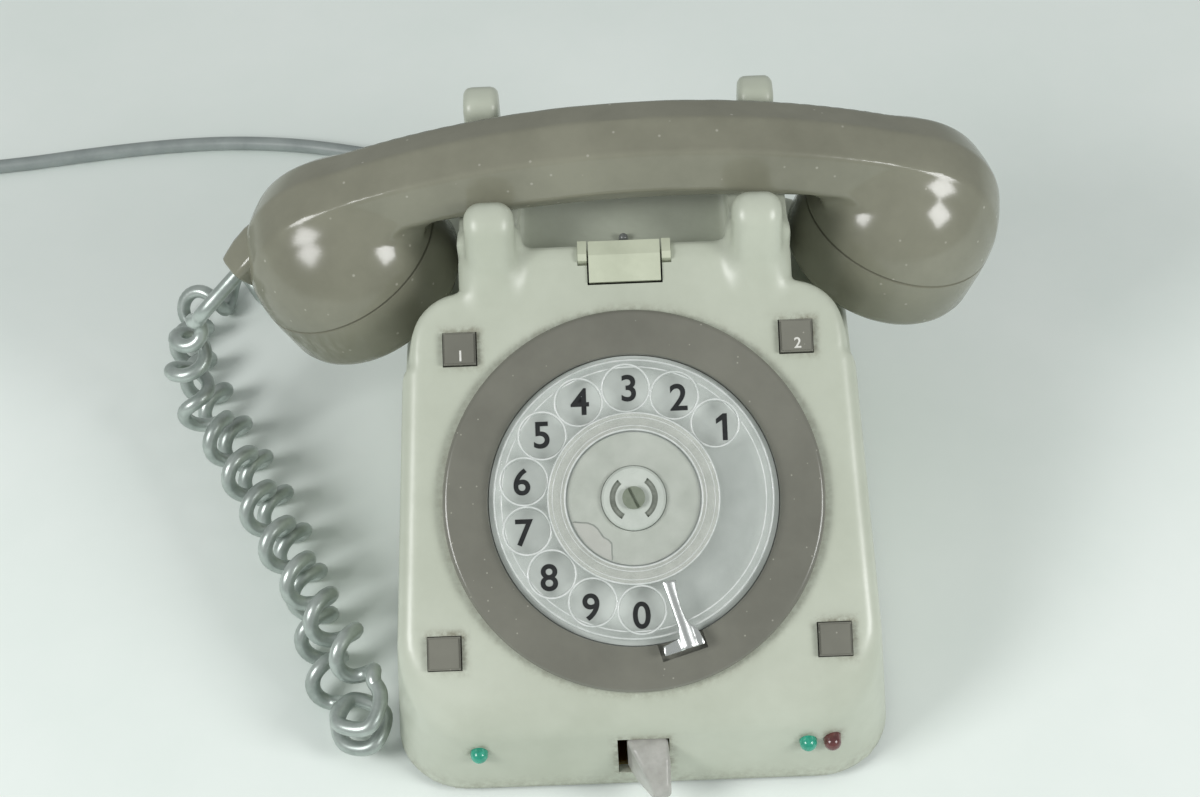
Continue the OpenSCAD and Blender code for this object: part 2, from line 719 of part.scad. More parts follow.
// Curly cord: the route lies on the table at the left of the housing and goes round behind it
function yawed(p) = [p[0] * cos(handset_yaw) - p[1] * sin(handset_yaw),
    p[0] * sin(handset_yaw) + p[1] * cos(handset_yaw), p[2]];
boot_ray = yawed(unit(boot_dir));
boot_at = [0, cradle_y, handset_z] + yawed(boot_from) + (boot_len + 0.05) * boot_ray;
low_z = curl_d / 2 + 0.3;
top_z = low_z + curl_d + 0.6;
loop_c = [-82.4, -68];
loop_r = 7;
loop_z = (top_z - low_z) / 6;
curly_path = concat([boot_at, boot_at + 11 * boot_ray],
    [[-131, 42, 70], [-137, 47, 54], [-140, 47, 38], [-138, 42, top_z + 3]],
    [[-128, 28, top_z], [-117, 6, top_z], [-106, -16, top_z], [-94, -37, top_z], [-82.5, -55, top_z]],
    [for (i = [0:6]) let (a = 25 - 90 * i)
        [loop_c[0] + loop_r * cos(a), loop_c[1] + loop_r * sin(a), top_z - i * loop_z]],
    [[-92, -56, low_z], [-97, -38, low_z], [-103, -14, low_z], [-112, 10, low_z], [-123, 32, low_z],
    [-136, 56, low_z], [-147, 80, low_z], [-147, 102, low_z], [-131, 110, low_z], [-110, 112, low_z],
    [-90, 116, low_z], [-72, 120, 10], [-56, 121, 13], [-46, 115, 15], curly_exit]);
route_n = len(curly_path) - 1;
route_u = [for (i = [0:800]) i * route_n / 800];
route_pts = [for (u = route_u) spline(curly_path, u)];
route_s = [for (i = 0, s = 0; i <= 800; i = i + 1,
    s = s + norm(route_pts[min(i, 800)] - route_pts[i - 1])) s];
route_len = route_s[800];
function s_at(u) = lookup(u, [for (i = [0:800]) [route_u[i], route_s[i]]]);
function u_at(s) = lookup(s, [for (i = [0:800]) [route_s[i], route_u[i]]]);
top_s = [s_at(1.7), s_at(10.6)];
low_s = [s_at(17.6), s_at(27.6)];
top_curls = round(curls * (top_s[1] - top_s[0]) / (top_s[1] - top_s[0] + low_s[1] - low_s[0]));
low_curls = curls - top_curls;
function share(s, span) = min(1, max(0, (s - span[0]) / (span[1] - span[0])));
function ramp(s, span, rise) = min(1, max(0, min((s - span[0]) / rise, (span[1] - s) / 9)));
function route_point(s) = spline(curly_path, u_at(min(max(s, 0), route_len)));
function route_dir(s) = unit(route_point(s + 0.8) - route_point(s - 0.8));
function route_up(s) = s < (top_s[0] + top_s[1]) / 2 ? cross(route_dir(s), [0.9, 0.43, 0]) : [0, 0, 1];
function curl_side(s) = let (t = route_dir(s), a = square_to(route_up(s), t), b = cross(t, a),
    w = 360 * (top_curls * share(s, top_s) + low_curls * share(s, low_s))) cos(w) * a + sin(w) * b;
curly_s = concat([for (i = [0:5]) top_s[0] * i / 6],
    [for (i = [0:top_curls * 8]) top_s[0] + (top_s[1] - top_s[0]) * i / (top_curls * 8)],
    [for (i = [1:31]) top_s[1] + (low_s[0] - top_s[1]) * i / 32],
    [for (i = [0:low_curls * 8]) low_s[0] + (low_s[1] - low_s[0]) * i / (low_curls * 8)],
    [for (i = [1:6]) low_s[1] + (route_len - low_s[1]) * i / 6]);
curly_line = [for (s = curly_s)
    route_point(s) + curl_r * (ramp(s, top_s, 26) + ramp(s, low_s, 9)) * curl_side(s)];
curly_sides = [for (s = curly_s) curl_side(s)];
curly_mid = tangents(curly_line);
curly_dirs = [for (i = [0:len(curly_line) - 1])
    i == 0 ? boot_ray : i == len(curly_line) - 1 ? [0, -1, 0] : curly_mid[i]];

module curly_cord() {
    color("#9aa39f") tube(curly_line, curly_dirs, curly_sides, curly_d / 2, 6);
}
module gland(p, tail, r) {
    translate([p[0], rear_y - 6, p[2]]) rotate([-90, 0, 0]) rotate_extrude()
        polygon([[0, 0], [6.5, 0], [6.5, 1.4], [4.45, 1.4], [4.45, 5.4], [6, 5.4], [6, 7.6], [r + 1.6, 7.6],
            [r + 0.7, 6 + tail], [0, 6 + tail]]);
}
module curly_gland() {
    color(taupe_col) gland(curly_exit, curly_exit[1] - rear_y, curly_d / 2);
}

// Line cord, its coil and plug
module line_cord() {
    n = len(line_path);
    dirs = [for (i = [0:n - 1]) i == 0 ? [0, 1, 0] : i == n - 1 ? [-1, 0, 0] : tangents(line_path)[i]];
    color("#8d918e") tube(line_path, dirs, [for (p = line_path) [0, 0, 1]], line_d / 2, 10);
}
module line_gland() {
    color("#6f706c") gland(line_exit, line_exit[1] - rear_y, line_d / 2);
}
coil_half = (coil_turns - 0.5) / 2;
function coil_radius(t) = t < coil_half ? coil_r[1] - (coil_r[1] - coil_r[0]) * t / coil_half
    : t < coil_half + 0.5 ? coil_r[0]
    : coil_r[0] + (coil_r[1] - coil_r[0]) * (t - coil_half - 0.5) / coil_half;
function coil_height(t) = coil_z[0] + (coil_z[1] - coil_z[0]) * min(1, max(0, (t - coil_half) / 0.5));
coil_line = concat([for (i = [0:coil_turns * 24]) let (t = i / 24, a = 90 + 360 * t)
    [coil_c[0] + coil_radius(t) * cos(a), coil_c[1] + coil_radius(t) * sin(a), coil_height(t)]],
    [for (x = [8:8:32]) [coil_c[0] - x, coil_c[1] + coil_r[1], coil_z[1]]]);
module line_coil() {
    n = len(coil_line);
    dirs = [for (i = [0:n - 1]) i == 0 || i == n - 1 ? [-1, 0, 0] : tangents(coil_line)[i]];
    color("#8d918e") tube(coil_line, dirs, [for (p = coil_line) [0, 0, 1]], line_d / 2, 6);
}
module cord_tie() {
    in0 = coil_r[0] - line_d / 2 - 0.5;
    in1 = coil_r[1] + line_d / 2 + 0.5;
    top = coil_z[1] + line_d / 2 + 0.4;
    color("#3c3d3c") translate([coil_c[0] - 4, coil_c[1] - in1 - 1, 0.1]) difference() {
        cube([8, in1 - in0 + 2, top + 0.9]);
        translate([-1, 1, 0.9]) cube([10, in1 - in0, top - 0.9]);
    }
}
plug_at = [coil_c[0] - 32, coil_c[1] + coil_r[1], coil_z[1]];
module line_plug() {
    h = plug_at[2] - 0.1;
    color("#77797a") translate([plug_at[0] - 26, plug_at[1] - 11, 0.1]) difference() {
        union() {
            cube([18, 22, 2 * h]);
            translate([18, 6, h - 4.5]) cube([8, 10, 9]);
        }
        for (y = [5, 11, 17]) translate([-1, y - 1, h - 2]) cube([9, 2, 4]);
    }
}
module plug_contacts() {
    color(brass_col) for (y = [5, 11, 17])
        translate([plug_at[0] - 34, plug_at[1] - 12 + y, plug_at[2] - 2]) cube([16, 2, 4]);
}

// Least gap between stretches of a tube that are more than one turn's third apart along it
function least_gap(p, d, skip) = min([for (i = [0:len(p) - 1 - skip])
    min([for (j = [i + skip:len(p) - 1]) norm(p[i] - p[j])])]) - d;
union() {
    echo(curly_gap = least_gap(curly_line, curly_d, 6), coil_gap = least_gap(coil_line, line_d, 12));
}

housing();
base_plate();
rubber_feet();
base_screws();
dial_bezel();
number_plate();
dial_case();
finger_stop();
finger_wheel();
dial_shaft();
number_card();
card_window();
wheel_hub();
wheel_screw();
button_top_left();
button_top_right();
button_low_left();
button_low_right();
button_switches();
green_lamps();
red_lamp();
call_lamp();
lever();
lever_frame();
recall_key();
key_bracket();
hook_frame();
hook_plungers();
circuit_board();
induction_coil();
capacitor();
terminal_block();
ringer_coil();
gong_posts();
gong_left();
gong_right();
clapper();
handset_shell();
ear_cap();
mouth_cap();
receiver();
transmitter();
handset_boot();
curly_cord();
curly_gland();
line_cord();
line_gland();
line_coil();
cord_tie();
line_plug();
plug_contacts();
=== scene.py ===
import math

import bmesh
import bpy
import numpy as np
from mathutils import Matrix, Vector


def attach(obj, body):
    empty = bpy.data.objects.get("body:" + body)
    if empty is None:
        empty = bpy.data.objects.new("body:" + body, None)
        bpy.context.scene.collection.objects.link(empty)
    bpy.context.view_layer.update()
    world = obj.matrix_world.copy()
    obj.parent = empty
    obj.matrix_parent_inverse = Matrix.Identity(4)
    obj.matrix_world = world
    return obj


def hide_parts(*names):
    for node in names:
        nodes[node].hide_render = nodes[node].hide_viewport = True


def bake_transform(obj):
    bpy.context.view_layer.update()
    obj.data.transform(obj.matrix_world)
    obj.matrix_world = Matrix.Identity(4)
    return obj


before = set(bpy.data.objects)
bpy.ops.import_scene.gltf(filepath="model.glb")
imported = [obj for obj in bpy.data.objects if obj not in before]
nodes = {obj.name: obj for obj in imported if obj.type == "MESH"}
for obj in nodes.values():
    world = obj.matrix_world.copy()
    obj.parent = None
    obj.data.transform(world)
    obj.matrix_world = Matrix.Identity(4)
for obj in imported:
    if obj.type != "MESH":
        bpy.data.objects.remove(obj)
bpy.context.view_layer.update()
MM = 0.001

# Camera: a hand-held view from the front and well above, 66 mm lens on a 36 mm wide frame,
# with the small roll of the photograph.
eye = Vector((0, -399.25, 576.03))
aim = Vector((-8.475, -7.459, 85.828))
roll = math.radians(3.248)
ahead = (aim - eye).normalized()
level = ahead.cross(Vector((0, 0, 1))).normalized()
upright = level.cross(ahead)
right = math.cos(roll) * level - math.sin(roll) * upright
above = math.sin(roll) * level + math.cos(roll) * upright
camera = bpy.data.objects.new("camera", bpy.data.cameras.new("camera"))
bpy.context.scene.collection.objects.link(camera)
camera.data.lens = 66
camera.data.sensor_width = 36
camera.data.sensor_fit = "HORIZONTAL"
camera.data.clip_start = 0.01
camera.matrix_world = Matrix((
    (right.x, above.x, -ahead.x, eye.x * MM),
    (right.y, above.y, -ahead.y, eye.y * MM),
    (right.z, above.z, -ahead.z, eye.z * MM),
    (0, 0, 0, 1)))
bpy.context.scene.camera = camera


# Curly cord: glossy silver-grey vinyl over tinsel conductors, wound hot into curls. It leaves the boot of
# the handset, lies in two layers on the table at the left of the housing and goes round behind it into
# a gland.
def linear(hex_colour):
    parts = [int(hex_colour[i:i + 2], 16) / 255 for i in (1, 3, 5)]
    return [c / 12.92 if c < 0.04045 else ((c + 0.055) / 1.055) ** 2.4 for c in parts] + [1.0]


def add(tree, kind, inputs=(), **settings):
    node = tree.nodes.new(kind)
    for key, value in settings.items():
        setattr(node, key, value)
    for key, value in dict(inputs).items():
        if isinstance(value, bpy.types.NodeSocket):
            tree.links.new(value, node.inputs[key])
        else:
            node.inputs[key].default_value = value
    return node


def finish(name, colours, blotch, rough, grain, depth):
    """A surface with two tones in blotches, each with its roughness, and a relief coarse enough to show.

    The blotches, the grain of the relief and its depth are in millimetres.
    """
    made = bpy.data.materials.new(name)
    made.use_nodes = True
    tree = made.node_tree
    skin = tree.nodes["Principled BSDF"]
    place = add(tree, "ShaderNodeTexCoord").outputs["Object"]
    cloud = add(tree, "ShaderNodeTexNoise",
                {"Vector": place, "Scale": 1000 / blotch, "Detail": 5, "Roughness": 0.62}).outputs["Fac"]
    spread = add(tree, "ShaderNodeMapRange", {"Value": cloud, "From Min": 0.32, "From Max": 0.68})
    tint = add(tree, "ShaderNodeMix",
               {0: spread.outputs["Result"], 6: linear(colours[0]), 7: linear(colours[1])},
               data_type="RGBA").outputs[2]
    tree.links.new(tint, skin.inputs["Base Color"])
    dull = add(tree, "ShaderNodeMapRange", {"Value": cloud, "From Min": 0.32, "From Max": 0.68,
                                            "To Min": rough[0], "To Max": rough[1]})
    tree.links.new(dull.outputs["Result"], skin.inputs["Roughness"])
    relief = add(tree, "ShaderNodeTexNoise", {"Vector": place, "Scale": 1000 / grain, "Detail": 3})
    bump = add(tree, "ShaderNodeBump",
               {"Strength": 0.4, "Distance": depth * MM, "Height": relief.outputs["Fac"]})
    tree.links.new(bump.outputs["Normal"], skin.inputs["Normal"])
    return made, tree, skin, place, tint


def mesh_piece(name, verts, faces, stuff, sharp=40):
    mesh = bpy.data.meshes.new(name)
    mesh.from_pydata((np.asarray(verts, float) * MM).tolist(), [], [list(map(int, f)) for f in faces])
    mesh.materials.append(stuff)
    mesh.shade_smooth()
    mesh.set_sharp_from_angle(angle=math.radians(sharp))
    made = bpy.data.objects.new(name, mesh)
    bpy.context.scene.collection.objects.link(made)
    return made


def tube(path, sides, radius):
    """A closed tube along a path; the radius is one value or one for each ring and side."""
    path = np.asarray(path, float)
    along = np.gradient(path, axis=0)
    along /= np.linalg.norm(along, axis=1)[:, None]
    side = np.zeros_like(path)
    side[0] = np.cross(along[0], [0.3, 0.2, 1])
    for i in range(len(path)):
        side[i] -= along[i] * (side[i] @ along[i])
        side[i] /= np.linalg.norm(side[i])
        if i + 1 < len(path):
            side[i + 1] = side[i]
    other = np.cross(along, side)
    turn = np.arange(sides) * 2 * math.pi / sides
    across = np.cos(turn)[None, :, None] * side[:, None] + np.sin(turn)[None, :, None] * other[:, None]
    rings = path[:, None] + radius * across
    count = len(path)
    faces = [(i * sides + k, i * sides + (k + 1) % sides,
              (i + 1) * sides + (k + 1) % sides, (i + 1) * sides + k)
             for i in range(count - 1) for k in range(sides)]
    faces += [tuple(range(sides))[::-1], tuple((count - 1) * sides + k for k in range(sides))]
    return rings.reshape(-1, 3), faces


def spline(points, u):
    """A smooth line through the points, read at their numbers u."""
    points = np.asarray(points, float)
    last = len(points) - 1
    i = np.minimum(np.floor(u).astype(int), last - 1)
    t = (u - i)[:, None]
    a, b, c, d = (points[np.clip(i + k, 0, last)] for k in (-1, 0, 1, 2))
    return 0.5 * (2 * b + (c - a) * t + (2 * a - 5 * b + 4 * c - d) * t ** 2
                  + (3 * b - a - 3 * c + d) * t ** 3)


curly_d, curl_d, curls = 4.6, 15.4, 25
handset_at = np.array([0, 54.942, 125.224])
askew = math.radians(2.3)
yaw = np.array([[math.cos(askew), -math.sin(askew), 0], [math.sin(askew), math.cos(askew), 0], [0, 0, 1]])
boot_from = np.array([-108, 0, -31.9])
boot_ray = np.array([-0.72, -0.42, -0.55]) / math.hypot(0.72, 0.42, 0.55)
boot_reach = 16.05
boot_end = handset_at + yaw @ (boot_from + boot_reach * boot_ray)
low_z = curl_d / 2 + 0.3
top_z = low_z + curl_d + 0.6
loop_x, loop_y, loop_r = -82.4, -68, 7
loop = [(loop_x + loop_r * math.cos(a), loop_y + loop_r * math.sin(a), z)
        for a, z in zip(np.radians(25 - 90 * np.arange(7)), np.linspace(top_z, low_z, 7))]
curly_route = [boot_end, boot_end + 11 * (yaw @ boot_ray), (-131, 42, 70), (-137, 47, 54), (-140, 47, 38),
               (-138, 42, top_z + 3), (-128, 28, top_z), (-117, 6, top_z), (-106, -16, top_z),
               (-94, -37, top_z), (-82.5, -55, top_z), *loop, (-92, -56, low_z), (-97, -38, low_z),
               (-103, -14, low_z), (-112, 10, low_z), (-123, 32, low_z), (-136, 56, low_z),
               (-147, 80, low_z), (-147, 102, low_z), (-131, 110, low_z), (-110, 112, low_z),
               (-90, 116, low_z), (-72, 120, 10), (-56, 121, 13), (-46, 115, 15), (-44, 105, 15)]
route_u = np.linspace(0, len(curly_route) - 1, 801)
route_line = spline(curly_route, route_u)
route_s = np.concatenate([[0], np.cumsum(np.linalg.norm(np.diff(route_line, axis=0), axis=1))])
# The upper and the lower layer of curls lie between these points of the route, counted from the boot.
top_span = np.interp([1.7, 10.6], route_u, route_s)
low_span = np.interp([17.6, 27.6], route_u, route_s)
top_curls = round(curls * np.ptp(top_span) / (np.ptp(top_span) + np.ptp(low_span)))
curl_steps, slow_fade, quick_fade = 26, 26, 9


def along_route(s):
    return spline(curly_route, np.interp(np.clip(s, 0, route_s[-1]), route_s, route_u))


def curl_zone(s, span, turns, fade):
    """The turns wound up to each place on a span, and how far the curls have grown there."""
    share = np.clip((s - span[0]) / np.ptp(span), 0, 1)
    return turns * share, np.clip(np.minimum((s - span[0]) / fade, (span[1] - s) / quick_fade), 0, 1)


curly_s = np.concatenate([
    np.linspace(0, top_span[0], 16)[:-1], np.linspace(*top_span, top_curls * curl_steps),
    np.linspace(top_span[1], low_span[0], 90)[1:-1], np.linspace(*low_span, (curls - top_curls) * curl_steps),
    np.linspace(low_span[1], route_s[-1], 24)[1:]])
heading = along_route(curly_s + 0.8) - along_route(curly_s - 0.8)
heading /= np.linalg.norm(heading, axis=1)[:, None]
upper = np.where((curly_s < top_span.mean())[:, None], np.cross(heading, [0.9, 0.43, 0]), [0.0, 0.0, 1.0])
upper -= heading * np.sum(upper * heading, axis=1)[:, None]
upper /= np.linalg.norm(upper, axis=1)[:, None]
turns_top, grown_top = curl_zone(curly_s, top_span, top_curls, slow_fade)
turns_low, grown_low = curl_zone(curly_s, low_span, curls - top_curls, quick_fade)
wind = 2 * math.pi * (turns_top + turns_low)
curl_side = np.cos(wind)[:, None] * upper + np.sin(wind)[:, None] * np.cross(heading, upper)
curly_line = along_route(curly_s) + (curl_d - curly_d) / 2 * (grown_top + grown_low)[:, None] * curl_side

# Vinyl with a metallic grey pigment: a smooth skin with a soft silvery sheen, dulled in patches by handling.
silver_vinyl, _, skin, *_ = finish("silver_grey_vinyl", ("#98a29d", "#c2cbc6"), 11, (0.4, 0.28), 1.1, 0.04)
skin.inputs["Metallic"].default_value = 0.6
skin.inputs["IOR"].default_value = 1.53
skin.inputs["Coat Weight"].default_value = 0.2
skin.inputs["Coat Roughness"].default_value = 0.25

curly_cord = mesh_piece("curly_cord_vinyl", *tube(curly_line, 12, curly_d / 2), silver_vinyl, sharp=60)
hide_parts("curly_cord")
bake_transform(curly_cord)

# Line cord: round grey vinyl cable that leaves the rear gland, lies on the table and goes out of the picture.
# The rest of its length is wound into a tied coil with the moulded plug beside it.
line_d = 5.0
line_route = [(-14, 109, 15), (-14, 118, 15), (-16, 128, 11), (-22, 140, 5.5), (-34, 153, 3),
              (-52, 163.5, 2.7), (-72, 171.5, 2.7), (-96, 179, 2.7), (-120, 184.5, 2.7), (-145, 187, 2.7),
              (-170, 186.5, 2.7), (-195, 184, 2.7), (-220, 180.7, 2.7), (-246, 178.4, 2.9), (-266, 178, 3.7),
              (-278, 178, 3.9), (-284, 178, 3.9)]
coil_middle, coil_outer, coil_inner, coil_turns = (-284, 141), 37, 17, 7
coil_low, coil_high = 3.9, 9.8
half_turns = (coil_turns - 0.5) / 2
coil_t = np.linspace(0, coil_turns, coil_turns * 40 + 1)
coil_radius = np.interp(coil_t, [0, half_turns, half_turns + 0.5, coil_turns],
                        [coil_outer, coil_inner, coil_inner, coil_outer])
coil_z = np.interp(coil_t, [half_turns, half_turns + 0.5], [coil_low, coil_high])
coil_a = math.pi / 2 + 2 * math.pi * coil_t
coil_line = np.stack([coil_middle[0] + coil_radius * np.cos(coil_a),
                      coil_middle[1] + coil_radius * np.sin(coil_a), coil_z], 1)
route = spline(line_route, np.linspace(0, len(line_route) - 1, 180))
tail = [(coil_middle[0] - x, coil_middle[1] + coil_outer, coil_high) for x in range(4, 33, 4)]
line_line = np.concatenate([route[:-1], coil_line, tail])

# Plain vinyl cable: grey, a little greasy, with the faint grain of an extruded sheath.
cable_vinyl, _, skin, *_ = finish("grey_cable_vinyl", ("#868f8d", "#9ea6a4"), 16, (0.5, 0.36), 1.4, 0.08)
skin.inputs["IOR"].default_value = 1.53

line_cord = mesh_piece("line_cord_cable", *tube(line_line, 14, line_d / 2), cable_vinyl, sharp=60)
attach(line_cord, "base")
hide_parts("line_cord", "line_coil")


def dress(stuff, *names, edge=0):
    """Gives nodes their material, and an edge in millimetres that breaks the sharp corners."""
    for name in names:
        nodes[name].data.materials.clear()
        nodes[name].data.materials.append(stuff)
        if edge:
            soft = nodes[name].modifiers.new("broken_edge", "BEVEL")
            soft.width = edge * MM
            soft.segments = 2
            soft.limit_method = "ANGLE"
            soft.angle_limit = math.radians(40)


# Filled rubber of the glands: dark taupe, dull, slightly chalky.
taupe_rubber, *_ = finish("taupe_rubber", ("#626156", "#77766a"), 9, (0.62, 0.5), 0.7, 0.06)
# Nylon of the tie, the switches, the terminals and the hook: nearly black with a waxy gleam.
dark_nylon, *_ = finish("dark_nylon", ("#393b3b", "#4c4f4e"), 14, (0.55, 0.4), 0.8, 0.06)
# Rolled brass: warm yellow, with dull patches.
rolled_brass, _, skin, *_ = finish("rolled_brass", ("#a5863f", "#cdb06a"), 10, (0.42, 0.26), 0.5, 0.03)
skin.inputs["Metallic"].default_value = 1.0
dress(cable_vinyl, "line_plug", edge=0.8)
dress(rolled_brass, "plug_contacts", edge=0.2)
dress(dark_nylon, "cord_tie", edge=0.4)
dress(taupe_rubber, "curly_gland", "line_gland", edge=0.4)

# Base plate: sheet steel that closes the housing from below, held by four slotted screws, on rubber feet.
# Its zinc plating is grey with pale, cloudy crystals.
zinc_steel, _, skin, *_ = finish("zinc_plated_steel", ("#8f9394", "#b9bdbd"), 6, (0.46, 0.3), 0.9, 0.02)
skin.inputs["Metallic"].default_value = 1.0
# Moulded rubber: matt black-grey with a bloom.
foot_rubber, *_ = finish("foot_rubber", ("#262624", "#393937"), 5, (0.85, 0.7), 0.6, 0.08)
dress(zinc_steel, "base_plate", "base_screws", edge=0.25)
dress(foot_rubber, "rubber_feet", edge=0.5)

# Works inside the housing: a laminate board with coil, capacitor and terminals, the ringer with its two
# gongs, and the switches under the buttons, the lever and the hook.
# Paper laminate: pressed with resin, amber and a little glossy.
laminate, *_ = finish("paper_laminate", ("#8f7d45", "#a8955a"), 4, (0.5, 0.38), 0.5, 0.03)
# Enamelled copper wire under lacquer: brown, in close turns, drawn coarser than the wire so that they show.
wire_pitch = 0.982
winding, tree, skin, place, _ = finish("lacquered_winding", ("#5d4030", "#7d5a42"), 3, (0.42, 0.3),
                                       0.35, 0.06)
turns_of_wire = add(tree, "ShaderNodeTexWave",
                    {"Vector": place, "Scale": 100 * math.pi / wire_pitch, "Distortion": 0.6})
wire_relief = add(tree, "ShaderNodeBump",
                  {"Strength": 0.5, "Distance": 0.1 * MM, "Height": turns_of_wire.outputs["Fac"]})
tree.links.new(wire_relief.outputs["Normal"], skin.inputs["Normal"])
# Drawn aluminium cans: pale, soft grey with a brushed haze.
can_aluminium, _, skin, *_ = finish("drawn_aluminium", ("#a9acae", "#c6c9cb"), 8, (0.42, 0.3), 0.4, 0.02)
skin.inputs["Metallic"].default_value = 1.0
dress(laminate, "circuit_board", edge=0.2)
dress(winding, "induction_coil", "ringer_coil", edge=0.4)
dress(can_aluminium, "capacitor", edge=0.4)
dress(dark_nylon, "terminal_block", "button_switches", edge=0.3)
dress(zinc_steel, "gong_posts", "clapper", "hook_frame", "dial_case", "dial_shaft", edge=0.2)
dress(rolled_brass, "gong_left", "gong_right", "lever_frame", edge=0.2)


# Housing: one moulded shell of pale grey-green ABS, with a slanted face, horns that flow out of it and sunk
# shoulders. Its form is a signed distance in millimetres with rounded joins, skinned by a fine net, with its
# holes cut afterwards.
def round_union(a, b, r):
    return np.maximum(r, np.minimum(a, b)) - np.hypot(np.maximum(r - a, 0), np.maximum(r - b, 0))


def round_cut(a, b, r):
    return np.minimum(-r, np.maximum(a, b)) + np.hypot(np.maximum(r + a, 0), np.maximum(r + b, 0))


def net(field, low, high, step):
    """A skin of four-sided faces on the zero of a field, between two corners, drawn close to the form."""
    axes = [np.arange(a, b + step, step) for a, b in zip(low, high)]
    grid = np.stack(np.meshgrid(*axes, indexing="ij"), -1)
    shape = grid.shape[:3]
    value = np.concatenate([field(part.reshape(-1, 3)).reshape(part.shape[:3])
                            for part in np.array_split(grid, 24)])
    inside = value < 0
    corners = [(i, j, k) for i in (0, 1) for j in (0, 1) for k in (0, 1)]
    cells = tuple(n - 1 for n in shape)
    pick = {c: tuple(slice(o, o + n) for o, n in zip(c, cells)) for c in corners}
    count = sum(inside[pick[c]].astype(np.int8) for c in corners)
    active = np.argwhere((count > 0) & (count < 8))
    total = np.zeros((len(active), 3))
    hits = np.zeros(len(active))
    for a in corners:
        for axis in range(3):
            if a[axis]:
                continue
            b = tuple(c + (n == axis) for n, c in enumerate(a))
            ia, ib = (tuple((active + np.array(c)).T) for c in (a, b))
            va, vb = value[ia], value[ib]
            cross = (va < 0) != (vb < 0)
            t = np.where(cross, va / np.where(cross, va - vb, 1), 0)
            total += np.where(cross[:, None], grid[ia] + t[:, None] * (grid[ib] - grid[ia]), 0)
            hits += cross
    verts = total / hits[:, None]
    index = np.full(cells, -1)
    index[tuple(active.T)] = np.arange(len(active))
    quads = []
    for axis in range(3):
        near = [slice(None)] * 3
        far = [slice(None)] * 3
        near[axis], far[axis] = slice(0, -1), slice(1, None)
        edge = np.argwhere(inside[tuple(near)] != inside[tuple(far)])
        u, v = (axis + 1) % 3, (axis + 2) % 3
        edge = edge[(edge[:, u] > 0) & (edge[:, u] < shape[u] - 1)]
        edge = edge[(edge[:, v] > 0) & (edge[:, v] < shape[v] - 1)]
        ring = []
        for du, dv in ((0, 0), (-1, 0), (-1, -1), (0, -1)):
            at = edge.copy()
            at[:, u] += du
            at[:, v] += dv
            ring.append(index[tuple(at.T)])
        ring = np.stack(ring, 1)
        flip = inside[tuple(edge.T)]
        ring[~flip] = ring[~flip][:, ::-1]
        quads.append(ring)
    for _ in range(4):
        here = field(verts)
        slope = np.stack([(field(verts + d) - field(verts - d)) / 0.1 for d in np.eye(3) * 0.05], 1)
        size = np.maximum(np.sum(slope ** 2, 1), 0.2)
        verts = verts - np.clip(here / size, -0.5, 0.5)[:, None] * slope
    return verts, np.concatenate(quads)


front_y, rear_y, front_h, tilt = -86.0, 96.0, 38.0, math.radians(32)
foot_y, ridge_up, dial_up = front_y + 2, 132.0, 61.0
base_half, draft, lean = 72.8, math.tan(math.radians(5)), 2 / 38
ridge = np.array([foot_y + ridge_up * math.cos(tilt), front_h + ridge_up * math.sin(tilt)])
dial_at = np.array([foot_y + dial_up * math.cos(tilt), front_h + dial_up * math.sin(tilt)])
well_z, wall = ridge[1] - 8, 2.6
tower_half, shoulder_z, shoulder_y, shoulder_r = 47.5, 66.0, ridge[0] - 23, 16.5
cradle_y, saddle_top = ridge[0] + 27, 110.52


def face_at(points):
    """Points across, up and out of the slanted face, from the dial's middle, in the phone's own frame."""
    u, v, n = np.asarray(points, float).T
    return np.stack([u, dial_at[0] + v * math.cos(tilt) - n * math.sin(tilt),
                     dial_at[1] + v * math.sin(tilt) + n * math.cos(tilt)], 1)


def body_field(x, y, z, t=0.0):
    """The housing without its horns, or what lies inside it at a wall of t."""
    hx = base_half - z * draft - t
    y0 = front_y + z * lean + t
    y1 = rear_y - 0.08 * z - t
    r = 22 - t
    qx = x - hx + r
    qy = np.abs(y - (y0 + y1) / 2) - (y1 - y0) / 2 + r
    plan = np.hypot(np.maximum(qx, 0), np.maximum(qy, 0)) + np.minimum(np.maximum(qx, qy), 0) - r
    face = -(y - foot_y) * math.sin(tilt) + (z - front_h) * math.cos(tilt) + t
    edge = np.interp(y, [-80, -66], [8.0, 5.0]) - t * 0.8
    body = round_cut(plan, face, edge)
    crest = round_cut(z - ridge[1] - 0.2 + t, y - ridge[0] - 4.2 + t, 1.6)
    body = round_cut(body, round_union(z - well_z + t, crest, 2.0), 1.5)
    beyond = np.hypot(x - tower_half, y - shoulder_y)
    cut = np.maximum(np.maximum(tower_half - t - x, shoulder_y - y), shoulder_r - t - beyond)
    cut = round_cut(cut, shoulder_z - t - z, 5.0)
    return round_cut(body, -cut, 4.0)


def horn_field(x, y, z):
    """The front horn, which leans out of the face, and the rear one."""
    low = ridge + np.array([-9.5, -6.6])
    top = ridge + np.array([3.6, 10.5])
    rise = math.atan2(top[1] - low[1], top[0] - low[0]) + math.asin(6 / np.linalg.norm(top - low))
    front = -(y - low[0]) * math.sin(rise) + (z - low[1]) * math.cos(rise)
    side = round_cut(round_cut(front, y - top[0] - 6, 4.0), z - top[1] - 6, 5.5)
    horn = round_cut(side, np.abs(x - 38.2) - 7.2, 5.0)
    back = round_cut(np.abs(y - cradle_y - 24) - 6, z - ridge[1] - 16.5, 5.0)
    rear = round_cut(back, np.abs(x - 40.75) - 5.25, 2.5)
    return horn, rear


